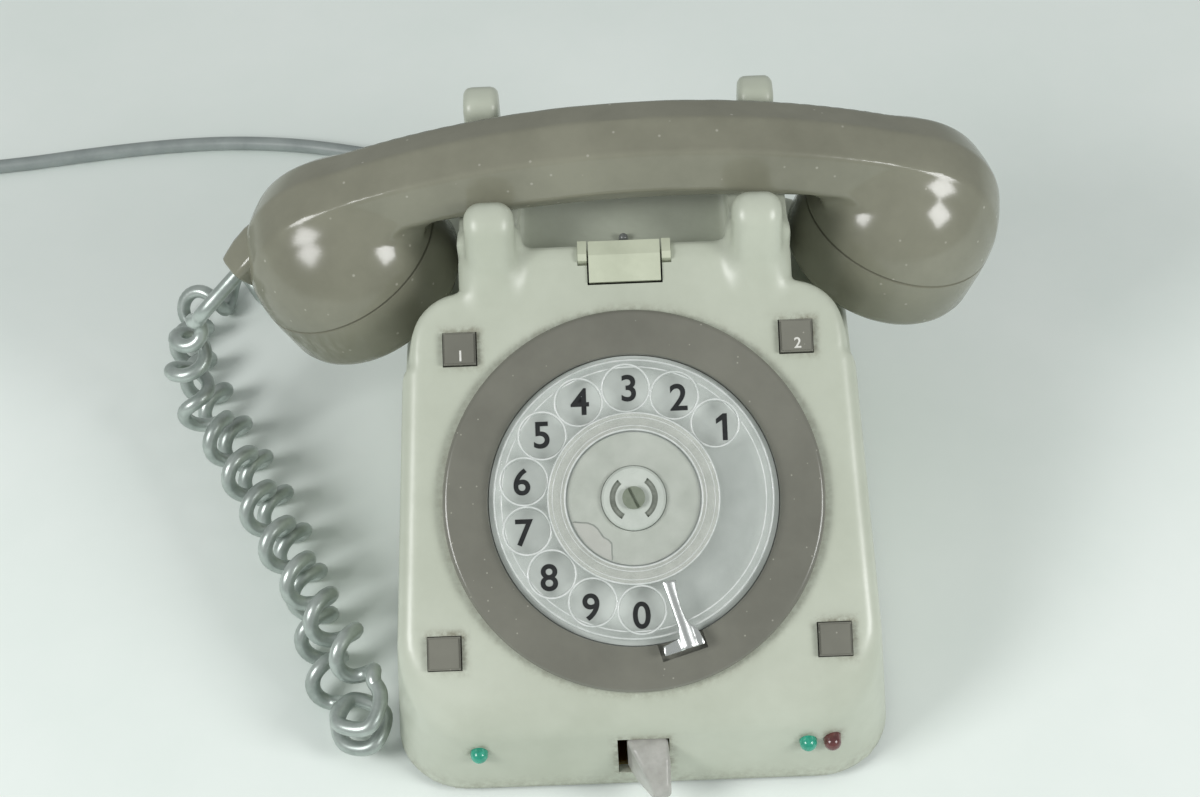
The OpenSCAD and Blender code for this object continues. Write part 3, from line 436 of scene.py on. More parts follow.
def housing_field(p):
    x, y, z = np.abs(p[:, 0]), p[:, 1], p[:, 2]
    body = body_field(x, y, z)
    horn, rear = horn_field(x, y, z)
    saddle = round_cut(np.maximum(np.abs(x - 39) - 8.6, np.abs(y - ridge[0] - 25) - 21), z - saddle_top, 1.0)
    shell = round_union(body, saddle, 1.5)
    shell = round_union(shell, rear, 3.0)
    shell = round_union(shell, horn, 5.0)
    shell = np.maximum(shell, -body_field(x, y, z, wall))
    posts = np.minimum(np.hypot(x - 58, y - front_y - 46), np.hypot(x - 58, y - rear_y + 17)) - 4
    shell = np.minimum(shell, np.maximum(np.maximum(posts, 4.6 - z), body + 1))
    v = (y - dial_at[0]) * math.cos(tilt) + (z - dial_at[1]) * math.sin(tilt)
    n = -(y - dial_at[0]) * math.sin(tilt) + (z - dial_at[1]) * math.cos(tilt)
    shell = np.maximum(shell, -np.maximum(np.hypot(x, v) - 47, np.abs(n) - 12))
    return np.maximum(shell, 3 - z)


def prism(outline, low, high):
    """A straight prism on an outline that runs against the clock hands seen from its high end."""
    count = len(outline)
    verts = [(*p, low) for p in outline] + [(*p, high) for p in outline]
    faces = [tuple(range(count))[::-1], tuple(range(count, 2 * count))]
    faces += [(i, (i + 1) % count, count + (i + 1) % count, count + i) for i in range(count)]
    return np.array(verts, float), faces


def disc(r, sides=48):
    turns = [2 * math.pi * i / sides for i in range(sides)]
    return [(r * math.cos(a), r * math.sin(a)) for a in turns]


def rectangle(x, y):
    return [(x[0], y[0]), (x[1], y[0]), (x[1], y[1]), (x[0], y[1])]


def joined(parts):
    verts, faces, start = [], [], 0
    for part_verts, part_faces in parts:
        verts.append(part_verts)
        faces += [tuple(int(k) + start for k in f) for f in part_faces]
        start += len(part_verts)
    return np.concatenate(verts), faces


def carve(piece, parts, sharp):
    """Cuts the given closed forms out of a piece."""
    tool = mesh_piece("cutter", *joined(parts), piece.data.materials[0])
    cut = piece.modifiers.new("holes", "BOOLEAN")
    cut.operation, cut.solver, cut.object = "DIFFERENCE", "EXACT", tool
    graph = bpy.context.evaluated_depsgraph_get()
    piece.data = bpy.data.meshes.new_from_object(piece.evaluated_get(graph))
    piece.modifiers.clear()
    bpy.data.objects.remove(tool)
    piece.data.shade_smooth()
    piece.data.set_sharp_from_angle(angle=math.radians(sharp))


button_places = [(-48.1, 44.9), (48.1, 44.9), (-55.0, -41.4), (55.0, -41.4)]
opening_half = 4.95
lamp_places = [-47.0, 47.0, 53.9]
lamp_z, lamp_hole_r = 22.7, 2.55
slot_half, slot_z, slot_rise = 7.4, 18.0, 8.5
gland_places, gland_z, gland_hole_r = (-44, -14), 15, 4.5
holes = []
for u, v in button_places:
    opening = rectangle((u - opening_half, u + opening_half), (v - opening_half, v + opening_half))
    verts, faces = prism(opening, -12, 12)
    holes.append((face_at(verts), faces))
for x in lamp_places:
    verts, faces = prism(disc(lamp_hole_r), 77, 92)
    holes.append((np.stack([verts[:, 0] + x, -verts[:, 2], verts[:, 1] + lamp_z], 1), faces))
holes.append(prism(rectangle((-slot_half, slot_half), (-92, -79)), slot_z - slot_rise, slot_z + slot_rise))
verts, faces = prism([(18.28, 106.62), (22.31, 100.18), (26, 102.5), (34, 102.5), (34, 113)], -10.8, 10.8)
holes.append((verts[:, [2, 0, 1]], faces))
verts, faces = prism([(23.87, 110.12), (26.64, 102.55), (33.9, 102.55), (33.9, 112.5)], -13.5, 13.5)
lug_bed = verts[:, [2, 0, 1]], faces
for x in (-38, 38):
    verts, faces = prism(disc(2.9), 88, 128)
    holes.append((verts + (x, cradle_y, 0), faces))
verts, faces = prism(disc(1.45), 94, 104)
holes.append((verts + (0, ridge[0] + 12.5, 0), faces))
for x in gland_places:
    verts, faces = prism(disc(gland_hole_r), -104, -84)
    holes.append((np.stack([verts[:, 0] + x, -verts[:, 2], verts[:, 1] + gland_z], 1), faces))

# ABS, moulded to a satin skin: pale grey-green, a little yellowed, with a fine peel. Its colour is darkened
# in patches round the buttons, more on their upper right sides, round the lamps and the slot, in a ring along
# the bezel, in a band along the foot, and faintly in the well.
shell_abs, tree, skin, place, tint = finish("grey_green_abs", ("#b3b9a9", "#c3c9ba"), 45, (0.4, 0.28),
                                            3.5, 0.05)
skin.inputs["IOR"].default_value = 1.53
dark_share = add(tree, "ShaderNodeAttribute", attribute_name="darkening").outputs["Fac"]
dark_patch_size = 2.381
patchy = add(tree, "ShaderNodeTexNoise",
             {"Vector": place, "Scale": 1000 / dark_patch_size, "Detail": 6, "Roughness": 0.7}).outputs["Fac"]
patchy = add(tree, "ShaderNodeMapRange",
             {"Value": patchy, "From Min": 0.38, "From Max": 0.66}).outputs["Result"]
dark_share = add(tree, "ShaderNodeMath", {0: dark_share, 1: patchy}, operation="MULTIPLY").outputs[0]
darkened_tint = add(tree, "ShaderNodeMix", {0: dark_share, 6: tint, 7: linear("#77725f")}, data_type="RGBA").outputs[2]
tree.links.new(darkened_tint, skin.inputs["Base Color"])

verts, faces = net(housing_field, (-75, -89, 0.4), (75, 99, 128), 1.3)
housing = mesh_piece("housing_shell", verts, faces, shell_abs, sharp=50)
carve(housing, holes, sharp=50)
carve(housing, [lug_bed], sharp=50)
at = np.array([v.co for v in housing.data.vertices]) / MM
across = at[:, 0]
up_face = (at[:, 1] - dial_at[0]) * math.cos(tilt) + (at[:, 2] - dial_at[1]) * math.sin(tilt)
off_face = -(at[:, 1] - dial_at[0]) * math.sin(tilt) + (at[:, 2] - dial_at[1]) * math.cos(tilt)
on_panel = np.abs(off_face) < 2.5
darkening = 0.45 * on_panel * np.exp(-((np.hypot(across, up_face) - 54.6) / 1.6) ** 2)
for u, v in button_places:
    past = np.maximum(np.abs(across - u), np.abs(up_face - v)) - opening_half
    side = np.clip(0.6 + 0.05 * (across - u + up_face - v), 0.2, 1)
    darkening = np.maximum(darkening, on_panel * side * np.exp(-(np.maximum(past, 0) / 1.5) ** 2))
for x in lamp_places:
    past = np.hypot(across - x, at[:, 2] - lamp_z) - lamp_hole_r
    darkening = np.maximum(darkening, (at[:, 1] < -70) * 0.8 * np.exp(-(np.maximum(past, 0) / 1.3) ** 2))
past = np.maximum(np.abs(across) - slot_half, np.abs(at[:, 2] - slot_z) - slot_rise)
darkening = np.maximum(darkening, (at[:, 1] < -70) * 0.8 * np.exp(-(np.maximum(past, 0) / 1.6) ** 2))
in_well = (at[:, 1] > ridge[0] + 3) & (np.abs(across) < 48) & (at[:, 2] < ridge[1])
darkening = np.maximum(darkening, 0.05 * in_well)
darkening = np.maximum(darkening, 0.5 * np.exp(-((at[:, 2] - 3) / 5) ** 2))
housing.data.attributes.new("darkening", "FLOAT", "POINT").data.foreach_set("value", darkening.astype(np.float32))
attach(housing, "base")
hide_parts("housing")


# Push buttons: four small square keys of taupe ABS that slide in the face and stand just proud of it.
# The upper two carry a printed white numeral.
def numeral(text, height):
    """A printed figure as flat outlines about its own middle, in millimetres."""
    curve = bpy.data.curves.new("figure", "FONT")
    curve.body = text
    curve.extrude = 0.004
    curve.offset = 0.016
    made = bpy.data.objects.new("figure", curve)
    bpy.context.scene.collection.objects.link(made)
    graph = bpy.context.evaluated_depsgraph_get()
    flat = bpy.data.meshes.new_from_object(made.evaluated_get(graph))
    verts = np.array([v.co for v in flat.vertices])
    faces = [tuple(p.vertices) for p in flat.polygons]
    bpy.data.objects.remove(made)
    low, high = verts.min(axis=0), verts.max(axis=0)
    return (verts - (low + high) / 2) * height / (high[1] - low[1]), faces


# Taupe ABS: grey-brown satin plastic with stray specks of dust, a few millimetres apart. The buttons and the
# bezel are of a darker batch than the handset, which hands have polished in patches.
dusted = []
for name, tones, speck_gap in (("dark_taupe_abs", ("#6c6c63", "#7c7c72"), 3.448),
                               ("taupe_abs", ("#787869", "#898979"), 5.882)):
    made, tree, skin, place, tint = finish(name, tones, 38, (0.22, 0.11), 3.5, 0.025)
    skin.inputs["IOR"].default_value = 1.53
    dust = add(tree, "ShaderNodeTexVoronoi", {"Vector": place, "Scale": 1000 / speck_gap}).outputs["Distance"]
    dust = add(tree, "ShaderNodeMapRange", {"Value": dust, "From Min": 0.04, "From Max": 0.09,
                                            "To Min": 0.6, "To Max": 0}).outputs["Result"]
    dusty = add(tree, "ShaderNodeMix", {0: dust, 6: tint, 7: linear("#b5b4a8")}, data_type="RGBA")
    tree.links.new(dusty.outputs[2], skin.inputs["Base Color"])
    dusted.append(made)
dark_taupe_abs, taupe_abs = dusted
# White pad-printing ink: thin, matt and a little worn.
white_ink, *_ = finish("white_ink", ("#c9c9c2", "#e3e3dd"), 1.2, (0.6, 0.5), 0.3, 0.02)
dress(dark_taupe_abs, "button_top_left", "button_top_right", "button_low_left", "button_low_right", edge=0.45)
for text, (u, v), key in (("1", button_places[0], "top_left"), ("2", button_places[1], "top_right")):
    verts, faces = numeral(text, 3.1)
    figure = mesh_piece("numeral_" + key, face_at(verts + (u + 0.3, v - 2.1, 2.23)), faces, white_ink)
    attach(figure, "key_" + key)

# Indicator lamps: round lenses pushed through the front panel, two green and one red, and a small grey dome
# in the well behind the ridge.
# Tinted acrylic: the lenses let a little light in, and the dome has only their wet-looking gloss.
green_lens, _, skin, *_ = finish("green_acrylic", ("#249a7e", "#3cc3a4"), 3, (0.24, 0.14), 0.8, 0.02)
skin.inputs["Transmission Weight"].default_value = 0.25
skin.inputs["Coat Weight"].default_value = 0.5
red_lens, _, skin, *_ = finish("red_acrylic", ("#5c3030", "#7d4a48"), 3, (0.24, 0.14), 0.8, 0.02)
skin.inputs["Transmission Weight"].default_value = 0.2
skin.inputs["Coat Weight"].default_value = 0.5
grey_dome, _, skin, *_ = finish("grey_acrylic", ("#5d605f", "#7c807e"), 2, (0.2, 0.12), 0.6, 0.02)
skin.inputs["Coat Weight"].default_value = 0.6
dress(green_lens, "green_lamps")
dress(red_lens, "red_lamp")
dress(grey_dome, "call_lamp")


# Line lever: a translucent milky blade on an upright pin in the front slot, thrown to the right. It is
# moulded in one with its round boss, and its edges are well rounded for the fingertip.
def polygon_field(points, x, y):
    """Signed distance in the plane from a closed outline."""
    points = np.asarray(points, float)
    best = np.full(x.shape, 1e9)
    sign = np.ones(x.shape)
    for a, b in zip(points, np.roll(points, -1, axis=0)):
        e = b - a
        wx, wy = x - a[0], y - a[1]
        t = np.clip((wx * e[0] + wy * e[1]) / (e @ e), 0, 1)
        best = np.minimum(best, (wx - t * e[0]) ** 2 + (wy - t * e[1]) ** 2)
        c1, c2 = y >= a[1], y < b[1]
        c3 = e[0] * wy > e[1] * wx
        sign = np.where((c1 & c2 & c3) | (~c1 & ~c2 & ~c3), -sign, sign)
    return sign * np.sqrt(best)


def lever_field(p):
    x, y, z = p.T
    plan = polygon_field([(-3.4, 0), (-5.8, -3), (-5.5, -6.4), (-4.8, -9.5), (-2.6, -18), (-1.4, -19),
                          (1.6, -19), (2.6, -18), (4.4, -12), (5.5, -6.4), (5.8, -3), (3.4, 0)], x, y)
    side = polygon_field([(0, 10.5), (-10, 10.9), (-17, 13), (-19, 14.5), (-19, 17.5), (-18, 19), (-12, 23.5),
                          (-7, 25.5), (0, 25.5)], y, z)
    boss = np.maximum(np.hypot(x, y) - 3.4, np.abs(z - 18) - 7.5)
    blade = round_union(round_cut(plan, side, 1.4), boss, 0.8)
    return np.maximum(blade, 1.55 - np.hypot(x, y))


def turned(points, angle):
    x, y, z = np.asarray(points, float).T
    c, s = math.cos(angle), math.sin(angle)
    return np.stack([x * c - y * s, x * s + y * c, z], 1)


# Milky acrylic: greyish white, lets some light through, smooth with fine scratches.
milky, _, skin, *_ = finish("milky_acrylic", ("#bdbdb6", "#d8d8d2"), 6, (0.26, 0.16), 0.7, 0.03)
skin.inputs["IOR"].default_value = 1.49
skin.inputs["Transmission Weight"].default_value = 0.35
throw, lever_pin = math.radians(16), (0, -79.5, 0)
verts, faces = net(lever_field, (-7, -20.5, 9), (7, 4.5, 27), 0.5)
lever = mesh_piece("lever_blade", turned(verts, throw) + lever_pin, faces, milky, sharp=60)
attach(lever, "line_lever")
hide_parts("lever")

# Recall key: a cream hinged plate over the ridge, between two hooked lugs that hold its pin.
# Cream ABS, moulded: warmer and less glossy than the housing.
cream_abs, _, skin, *_ = finish("cream_abs", ("#b9bfa9", "#c9cfb9"), 12, (0.42, 0.32), 2.5, 0.05)
skin.inputs["IOR"].default_value = 1.53
dress(cream_abs, "recall_key", "key_bracket", edge=0.35)


# Dial bezel: a ring of taupe ABS pressed into the face, with a fine rounded outer edge, a flat slope towards
# the wheel and a notch for the finger stop.
def lathe(profile, sides=160):
    """A closed profile of radius and height, turned about the upright axis."""
    count = len(profile)
    verts = [(r * math.cos(2 * math.pi * i / sides), r * math.sin(2 * math.pi * i / sides), z)
             for i in range(sides) for r, z in profile]
    faces = [(i * count + k, ((i + 1) % sides) * count + k, ((i + 1) % sides) * count + (k + 1) % count,
              i * count + (k + 1) % count) for i in range(sides) for k in range(count)]
    return np.array(verts), faces


stop_angle = math.radians(-73.6)
edge_arc = [(52.65 + 1.6 * math.cos(a), 1.65 + 1.6 * math.sin(a)) for a in np.linspace(0, math.pi / 2, 9)]
verts, faces = lathe([(46.7, -4.5), (46.7, 0.05), (54.25, 0.05), *edge_arc, (42.1, 2.46), (41.55, 2.3),
                      (41.4, 1.9), (41.4, -4.5)])
bezel = mesh_piece("bezel_ring", face_at(verts), faces, dark_taupe_abs, sharp=35)
notch_verts, notch_faces = prism(rectangle((40, 46.0), (-6.8, 6.5)), 0.6, 6.6)
carve(bezel, [(face_at(turned(notch_verts, stop_angle)), notch_faces)], sharp=35)
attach(bezel, "base")
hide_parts("dial_bezel")

# Number plate: a pale plastic ring under the wheel, with the ten figures printed in black, all upright.
# The 1 is drawn as a plain stem with a flag.
# Matt ABS: pale grey, with no more than a broad, weak gleam.
plate_plastic, *_ = finish("matt_abs", ("#b6bcb7", "#c6ccc7"), 14, (0.6, 0.5), 1.2, 0.03)
# Screen-printing ink: dense black with a slight sheen.
black_ink, *_ = finish("black_ink", ("#17191a", "#26292a"), 2, (0.5, 0.4), 0.3, 0.02)
dress(plate_plastic, "number_plate")
figures = []
figure_h, figure_r = 7.7, 32.3
stem = [(0.1, 0), (0.28, 0), (0.28, 1), (0.13, 1), (-0.13, 0.8), (-0.13, 0.62), (0.1, 0.76)]
for i in range(10):
    a = math.radians(38.6 + i * 25.9)
    if i:
        verts, faces = numeral(str((i + 1) % 10), figure_h)
    else:
        verts, faces = prism([(figure_h * x, figure_h * (y - 0.5)) for x, y in stem], -0.03, 0.03)
    figures.append((verts + (figure_r * math.cos(a), figure_r * math.sin(a) - 0.4, 0.05), faces))
verts, faces = joined(figures)
digits = mesh_piece("dial_figures", face_at(verts), faces, black_ink)
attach(digits, "base")


# Finger stop: a blade of polished stainless steel, bent up out of the notch in the bezel.
# It is pressed to an arch and waisted over the wheel.
def stop_field(p):
    r, t, n = p.T
    blade = polygon_field([(24.9, -0.3), (28, 0), (33, 0.1), (38, 0.2), (41.2, -0.7), (42, -5.5),
                           (44.6, -5.6), (44.6, 5.7), (41.6, 5.7), (39.6, 4.8), (38, 3.7), (35.7, 3),
                           (33, 2.85), (30.3, 3), (27.6, 3.25), (25.3, 3.9)], r, t)
    arch = 0.16 * np.minimum(np.abs(t - 1.5), 2.4) ** 2
    blade = round_cut(blade, np.abs(n - 7.25 - 0.02 * (r - 35) + arch) - 0.55, 0.3)
    riser = np.maximum(np.maximum(np.abs(r - 43.8) - 0.8, np.abs(t) - 5.6), np.abs(n - 3.7) - 3.1)
    return round_union(blade, riser, 0.6)


# Polished stainless steel: mirror-bright, with fine wipe marks.
stainless, _, skin, *_ = finish("polished_stainless", ("#e0e4e2", "#eef1ef"), 5, (0.3, 0.2), 0.6, 0.01)
skin.inputs["Metallic"].default_value = 1.0
verts, faces = net(stop_field, (24, -7.5, -0.4), (46.5, 7.5, 8.8), 0.4)
finger_stop = mesh_piece("finger_stop_blade", face_at(turned(verts, stop_angle)), faces, stainless, sharp=50)
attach(finger_stop, "base")
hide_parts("finger_stop")

# Finger wheel: clear acrylic, moulded with ten finger holes in raised rims that touch each other, a double
# bead round the edge and a raised ring round the card.
hole_places = [(31.3 * math.cos(a), 31.3 * math.sin(a)) for a in np.radians(40.6 + np.arange(10) * 360 / 14)]


def wheel_field(p):
    u, v, n = p.T
    r = np.hypot(u, v)
    away = np.min([np.hypot(u - a, v - b) for a, b in hole_places], axis=0)
    plate = round_cut(r - 39.8, np.abs(n - 4.2) - 1.0, 0.35)
    beads = np.minimum(np.hypot(r - 38.9, n - 5.1) - 0.8, np.hypot(r - 37.2, n - 5.05) - 0.45)
    raised = round_cut(np.abs(r - 21.75) - 2.65, np.abs(n - 5.2) - 1.4, 0.45)
    sleeve = np.maximum(np.abs(r - 4.5) - 1.45, np.abs(n - 2.9) - 2.3)
    rims = np.hypot(away - 6.85, n - 5.25) - 0.75
    wheel = round_union(plate, np.minimum(np.minimum(beads, rims), raised), 0.35)
    wheel = round_cut(np.minimum(wheel, sleeve), 6.2 - away, 0.3)
    return np.maximum(wheel, 3.05 - r)


# Clear acrylic: thin and colourless, so the plate shows through under a faint grey haze of scratches. The
# rounded rims get a paler, more opaque acrylic: a painted highlight for the bright edges that refraction
# gives them.
acrylic, _, skin, *_ = finish("clear_acrylic", ("#b4bbb6", "#d3d9d5"), 6, (0.16, 0.05), 0.7, 0.01)
skin.inputs["IOR"].default_value = 1.49
skin.inputs["Alpha"].default_value = 0.13
rim_highlight_acrylic, _, skin, *_ = finish("rim_highlight_acrylic", ("#d9dfdb", "#f4f7f5"), 3, (0.12, 0.05), 0.5, 0.01)
skin.inputs["IOR"].default_value = 1.49
skin.inputs["Alpha"].default_value = 0.7
verts, faces = net(wheel_field, (-41, -41, 0.1), (41, 41, 7.3), 0.42)
wheel = mesh_piece("finger_wheel_acrylic", face_at(verts), faces, acrylic, sharp=60)
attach(wheel, "dial_wheel")
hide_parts("finger_wheel")
# Paler rings over the rounded rims of the wheel, the raised ring and the finger holes: painted highlights.
beads = [(0, 0, 39.3, 5.2, 0.3), (0, 0, 37.3, 5.4, 0.24), (0, 0, 24.1, 6.45, 0.26), (0, 0, 22.9, 6.58, 0.16),
         (0, 0, 20.5, 6.58, 0.16), (0, 0, 19.4, 6.45, 0.3)]
beads += [(a, b, 6.75, 5.8, 0.28) for a, b in hole_places]
highlight_rounds = []
for a, b, r, n, half in beads:
    section = [(r + half * math.cos(t), n + half * math.sin(t)) for t in np.radians(np.arange(0, 360, 45))]
    verts, faces = lathe(section, 120 if r > 10 else 48)
    highlight_rounds.append((verts + (a, b, 0), faces))
verts, faces = joined(highlight_rounds)
rims = mesh_piece("finger_wheel_rim_highlights", face_at(verts), faces, rim_highlight_acrylic, sharp=60)
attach(rims, "dial_wheel")
# Milky film over the top of the raised ring: a painted highlight, paler than the clear acrylic, for the
# bright ring it shows.
ring_highlight_film, _, skin, *_ = finish("painted_ring_highlight_acrylic", ("#cfd3ca", "#e2e5dc"), 4, (0.3, 0.16), 0.5, 0.02)
skin.inputs["IOR"].default_value = 1.49
skin.inputs["Alpha"].default_value = 0.3
verts, faces = lathe([(19.5, 6.62), (23.9, 6.62), (23.9, 6.66), (19.5, 6.66)])
ring_highlight_mesh = mesh_piece("finger_wheel_painted_ring_highlight", face_at(verts), faces, ring_highlight_film, sharp=60)
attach(ring_highlight_mesh, "dial_wheel")

# Middle of the wheel: a paper number card, torn at the lower left, under a clear window, with a white hub
# that a slotted screw clamps to the shaft.
# Aged card and the torn layer under its face: matt, fibrous and a little yellowed.
card_paper, *_ = finish("aged_card", ("#b6bbb0", "#c4c8be"), 7, (0.8, 0.7), 0.5, 0.05)
torn_paper, *_ = finish("torn_paper", ("#bcbcb4", "#c9c9c1"), 5, (0.85, 0.75), 0.4, 0.06)
# White ABS of the hub, moulded: satin, greyed by age.
white_abs, _, skin, *_ = finish("white_abs", ("#b4bbb3", "#c8cec6"), 9, (0.34, 0.24), 2.0, 0.03)
skin.inputs["IOR"].default_value = 1.53
# Dull nickel: worn grey-green plating on the screw.
dull_nickel, _, skin, *_ = finish("dull_nickel", ("#7f8877", "#959d8d"), 3, (0.5, 0.38), 0.5, 0.02)
skin.inputs["Metallic"].default_value = 0.5
verts, faces = lathe([(9.3, 5.22), (18.7, 5.22), (18.7, 5.6), (9.3, 5.6)])
card = mesh_piece("number_card_paper", face_at(verts), faces, card_paper, sharp=30)
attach(card, "dial_wheel")
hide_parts("number_card")
verts, faces = lathe([(9.3, 5.68), (18.9, 5.68), (18.9, 6.4), (17.6, 6.4), (17.0, 6.15), (9.3, 6.05)])
window = mesh_piece("card_window_acrylic", face_at(verts), faces, acrylic, sharp=30)
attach(window, "dial_wheel")
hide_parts("card_window")


def sector(low, high, outer, inner):
    """Part of a ring between two angles, whose inner edge is one radius or runs through the given radii."""
    out = [(outer * math.cos(a), outer * math.sin(a)) for a in np.radians(np.linspace(low, high, 24))]
    radii = np.interp(np.linspace(0, 1, 30), np.linspace(0, 1, len(inner)), inner)
    back = np.radians(np.linspace(high, low, 30))
    return out + [(r * math.cos(a), r * math.sin(a)) for r, a in zip(radii, back)]


verts, faces = lathe([(1.5, 5.22), (9.1, 5.22), (9.1, 6.6), (8.95, 6.85), (8.4, 7.3), (1.5, 7.3)])
hub = mesh_piece("wheel_hub_moulding", face_at(verts), faces, white_abs, sharp=35)
slot_turns = (-1, 184)
slots = [prism(sector(turn - 55, turn + 55, 6.8, [5.15]), 6.5, 9) for turn in slot_turns]
carve(hub, [(face_at(verts), faces) for verts, faces in slots], sharp=35)
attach(hub, "dial_wheel")
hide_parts("wheel_hub")
dress(dull_nickel, "wheel_screw", edge=0.15)

# Painted shade: thin dark grey films on the floors of the hub's slots, standing in for the dark below them,
# and a painted shadow line along the torn edge of the card, under the torn layer. They are dull and darker
# than what they lie on.
painted_shade_film, *_ = finish("painted_shade_film", ("#767b72", "#8d9289"), 2, (0.8, 0.7), 0.4, 0.04)
ragged = np.array([18.2, 14.4, 13.9, 14.1, 13.7, 13.5, 13.8, 15.0, 18.3])
shade_films = [prism(sector(turn - 54, turn + 54, 6.75, [5.2]), 6.51, 6.53) for turn in slot_turns]
shade_films.append(prism(sector(199, 249, 18.5, np.minimum(ragged - 0.5, 17.8)), 5.6, 5.62))
verts, faces = joined(shade_films)
shade_mesh = mesh_piece("dial_painted_shade", face_at(verts), faces, painted_shade_film)
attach(shade_mesh, "dial_wheel")
verts, faces = prism(sector(200, 248, 18.5, ragged), 5.62, 5.66)
scrap = mesh_piece("card_torn_layer", face_at(verts), faces, torn_paper)
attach(scrap, "dial_wheel")

# Hook plungers: two dark nylon pins that stand up through the saddles under the handle.
# The handset holds them down, and they come up when it is lifted.
dress(dark_nylon, "hook_plungers", edge=0.4)

# Handset: a shell of taupe ABS with a bowed, faceted handle whose roof goes on round the ends as a band, and
# two round cups that swell out of it. It is cut at the seams, where the caps screw on.
bow_r, handle_drop, under_r = 255.0, 13.2, 1070.0
cup_x, cup_z, cup_r, seam_d = 83.0, -38.9, 30.25, -2.5
cap_tilt = {-1: math.radians(24), 1: math.radians(18)}
band_r, band_x, band_z, band_a = 32.5, 80.6, -37.45, math.radians(20.33)
handle_round = 0.9
handle_outline = np.array([(-8.5, -16), (8.5, -16), (14.2, -5.7), (10.7, 6.3), (0, 9.5), (-10.7, 6.3),
                           (-14.2, -5.7)])


def inset(points, amount):
    """An outline drawn in on all its sides."""
    made = []
    for i in range(len(points)):
        a, b, c = points[i - 1], points[i], points[(i + 1) % len(points)]
        n1 = np.array([-(b - a)[1], (b - a)[0]]) / np.linalg.norm(b - a)
        n2 = np.array([-(c - b)[1], (c - b)[0]]) / np.linalg.norm(c - b)
        made.append(b + amount * (n1 + n2) / (1 + n1 @ n2))
    return np.array(made)


def handset_field(p):
    x, y, z = np.abs(p[:, 0]), p[:, 1], p[:, 2]
    on_bow = np.hypot(x, z + bow_r) - bow_r
    on_band = np.hypot(x - band_x, z - band_z) - (band_r - 9.5)
    fade = np.clip((np.arctan2(x - band_x, z - band_z) - 1.0) / 0.8, 0, 1)
    v = np.where(np.arctan2(x, z + bow_r) > band_a, on_band + 2.3 * fade ** 2, on_bow)
    roof = polygon_field(inset(handle_outline, handle_round), y, v) - handle_round
    under = -handle_drop - x ** 2 / (2 * under_r) - 0.3 * np.maximum(x - 54, 0) ** 2 - z
    roof = round_cut(roof, under, 2.5)
    cup = np.sqrt((x - cup_x) ** 2 + y ** 2 + (z - cup_z) ** 2) - cup_r
    return round_union(roof, cup, 4.5)


def cup_at(end, points):
    """Points in the frame of a cup, whose upright axis runs through its cap, in the phone's own frame."""
    x, y, z = np.asarray(points, float).T
    c, s = math.cos(cap_tilt[end]), end * math.sin(cap_tilt[end])
    lying = np.stack([x * c + z * s + end * cup_x, y, -x * s + z * c + cup_z], 1)
    return handset_at + lying @ yaw.T


verts, faces = net(handset_field, (-115, -32, -72), (115, 32, 12), 1.1)
handset = mesh_piece("handset_body", handset_at + verts @ yaw.T, faces, taupe_abs, sharp=50)
cut = bmesh.new()
cut.from_mesh(handset.data)
for end in (-1, 1):
    seam, below, middle, inward = cup_at(end, [(0, 0, -seam_d), (0, 0, -seam_d - 1), (0, 0, 0), (1, 0, 0)])
    facing = below - seam
    inward = inward - middle
    near = set()
    for f in cut.faces:
        away = np.array(f.calc_center_median()) / MM - middle
        if abs(away @ inward) < 36 and np.linalg.norm(away) < 48:
            near.add(f)
    part = list({v for f in near for v in f.verts}) + list({e for f in near for e in f.edges}) + list(near)
    bmesh.ops.bisect_plane(cut, geom=part, dist=1e-7, plane_co=seam * MM, plane_no=facing, clear_outer=True)
    rim = [e for e in cut.edges
           if e.is_boundary and all(abs((np.array(v.co) - seam * MM) @ facing) < 1e-5 for v in e.verts)]
    bmesh.ops.edgeloop_fill(cut, edges=rim)
cut.to_mesh(handset.data)
cut.free()
handset.data.shade_smooth()
handset.data.set_sharp_from_angle(angle=math.radians(50))
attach(handset, "handset")
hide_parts("handset_shell")

# Caps of the handset: round mouldings of the same taupe ABS that screw on at the seams, with sound holes over
# the aluminium capsules.
hole_r, hole_gap = 1.2, 5.4
cap_profile = [(26.6, 0), (29.2, 0), (29.2, -0.45), (30.2, -0.8), (30.35, -5), (30.15, -16), (29.5, -18.2),
               (28.5, -19.7), (27.2, -20.6), (25.8, -21), (22.1, -21), (12, -20.3), (0.02, -19.6),
               (0.02, -17.8), (26.6, -17.8)]
for name, node, end, rows in (("ear_cap_moulding", "ear_cap", 1, 1),
                              ("mouth_cap_moulding", "mouth_cap", -1, 2)):
    verts, faces = lathe([(r, z - seam_d) for r, z in cap_profile[::-1]], 144)
    cap = mesh_piece(name, cup_at(end, verts), faces, taupe_abs, sharp=35)
    drills = []
    for k in range(rows + 1):
        for i in range(max(6 * k, 1)):
            a = math.radians(i * 60 / max(k, 1))
            drill, drill_faces = prism(disc(hole_r, 20), -45, -5)
            drill = drill + (hole_gap * k * math.cos(a), hole_gap * k * math.sin(a), 0)
            drills.append((cup_at(end, drill), drill_faces))
    carve(cap, drills, sharp=35)
    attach(cap, "handset")
    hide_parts(node)
dress(can_aluminium, "receiver", "transmitter", edge=0.3)

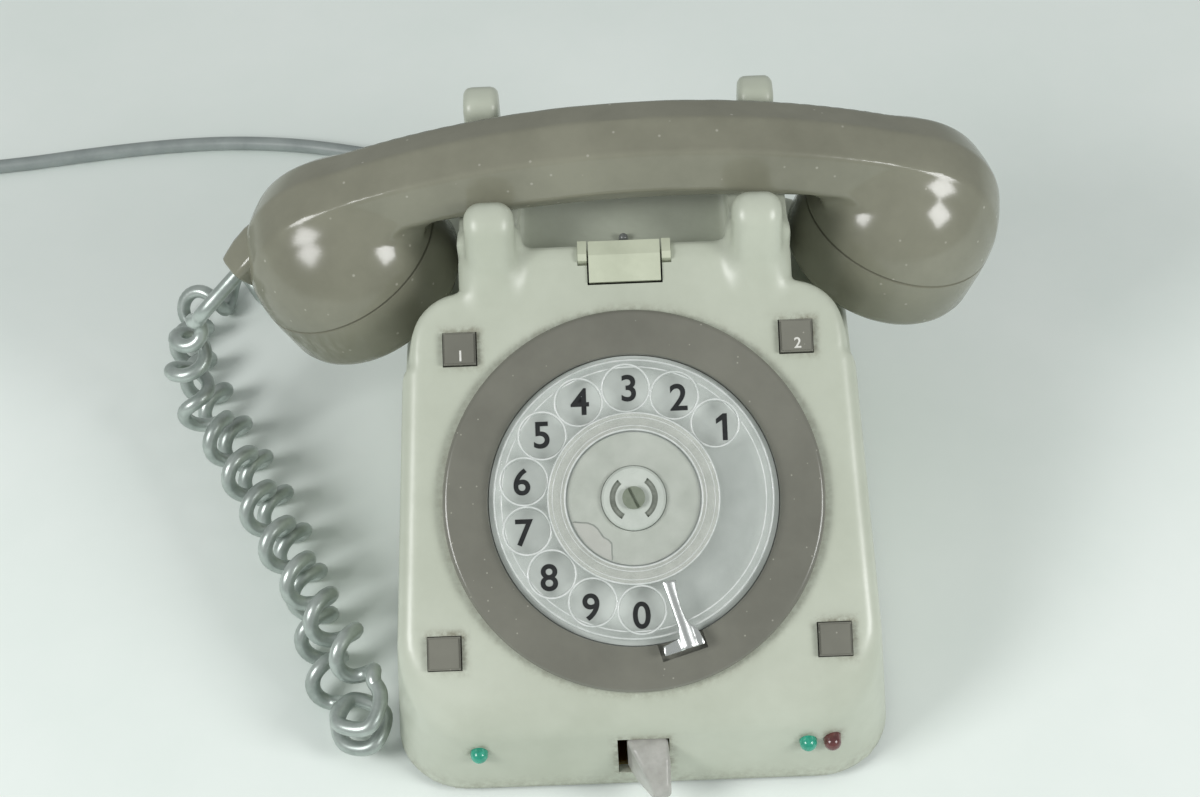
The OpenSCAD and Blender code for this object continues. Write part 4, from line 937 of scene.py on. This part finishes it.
# Cord boot: a stiff four-sided snout of taupe ABS at the mouth end, with rounded edges, and the smooth neck
# of the curly cord that comes out of it.
along_boot = np.array([-7, 0, 5, 9, 11.2, 11.6])
half = np.array([5.2, 6.1, 6.0, 5.5, 5.1, 4.6])
turn = np.arange(40) * math.pi / 20
squared = (np.abs(np.cos(turn)) ** 5 + np.abs(np.sin(turn)) ** 5) ** -0.2
verts, faces = tube(handset_at + (boot_from + along_boot[:, None] * boot_ray) @ yaw.T, 40,
                    half[:, None, None] * squared[None, :, None])
boot = mesh_piece("handset_boot_snout", verts, faces, taupe_abs, sharp=35)
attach(boot, "handset")
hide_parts("handset_boot")
along_neck = np.array([9, 12, boot_reach])
verts, faces = tube(handset_at + (boot_from + along_neck[:, None] * boot_ray) @ yaw.T, 12, curly_d / 2)
neck = mesh_piece("curly_cord_neck", verts, faces, silver_vinyl, sharp=60)
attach(neck, "handset")

# Table: a plain board faced with pale laminate, under two soft lamps left and right of the camera and an
# even studio sky.
# Pale laminate: matt, nearly white, with no pattern of its own.
table_laminate, *_ = finish("pale_laminate", ("#eaf3ee", "#f1f8f4"), 120, (0.75, 0.65), 2.0, 0.03)
corners = [(x, y, 0) for x, y in rectangle((-3000, 3000), (-3000, 3000))]
floor = mesh_piece("floor", corners, [(0, 1, 2, 3)], table_laminate)
lamp_back, lamp_up, lamp_reach = 0.7, 0.02, 0.95
for name, aside in (("lamp_left", -0.67), ("lamp_right", 0.74)):
    beam = bpy.data.lights.new(name, "AREA")
    beam.shape = "SQUARE"
    beam.size = 0.34
    beam.energy = 4.3
    made = bpy.data.objects.new(name, beam)
    bpy.context.scene.collection.objects.link(made)
    made.location = aim * MM + (right * aside - ahead * lamp_back + above * lamp_up) * lamp_reach
    made.rotation_euler = (aim * MM - made.location).to_track_quat("-Z", "Y").to_euler()
world = bpy.data.worlds.new("studio")
bpy.context.scene.world = world
world.use_nodes = True
world.node_tree.nodes["Background"].inputs["Color"].default_value = linear("#f0f3f2")
world.node_tree.nodes["Background"].inputs["Strength"].default_value = 0.42
bpy.context.scene.view_settings.view_transform = "Standard"
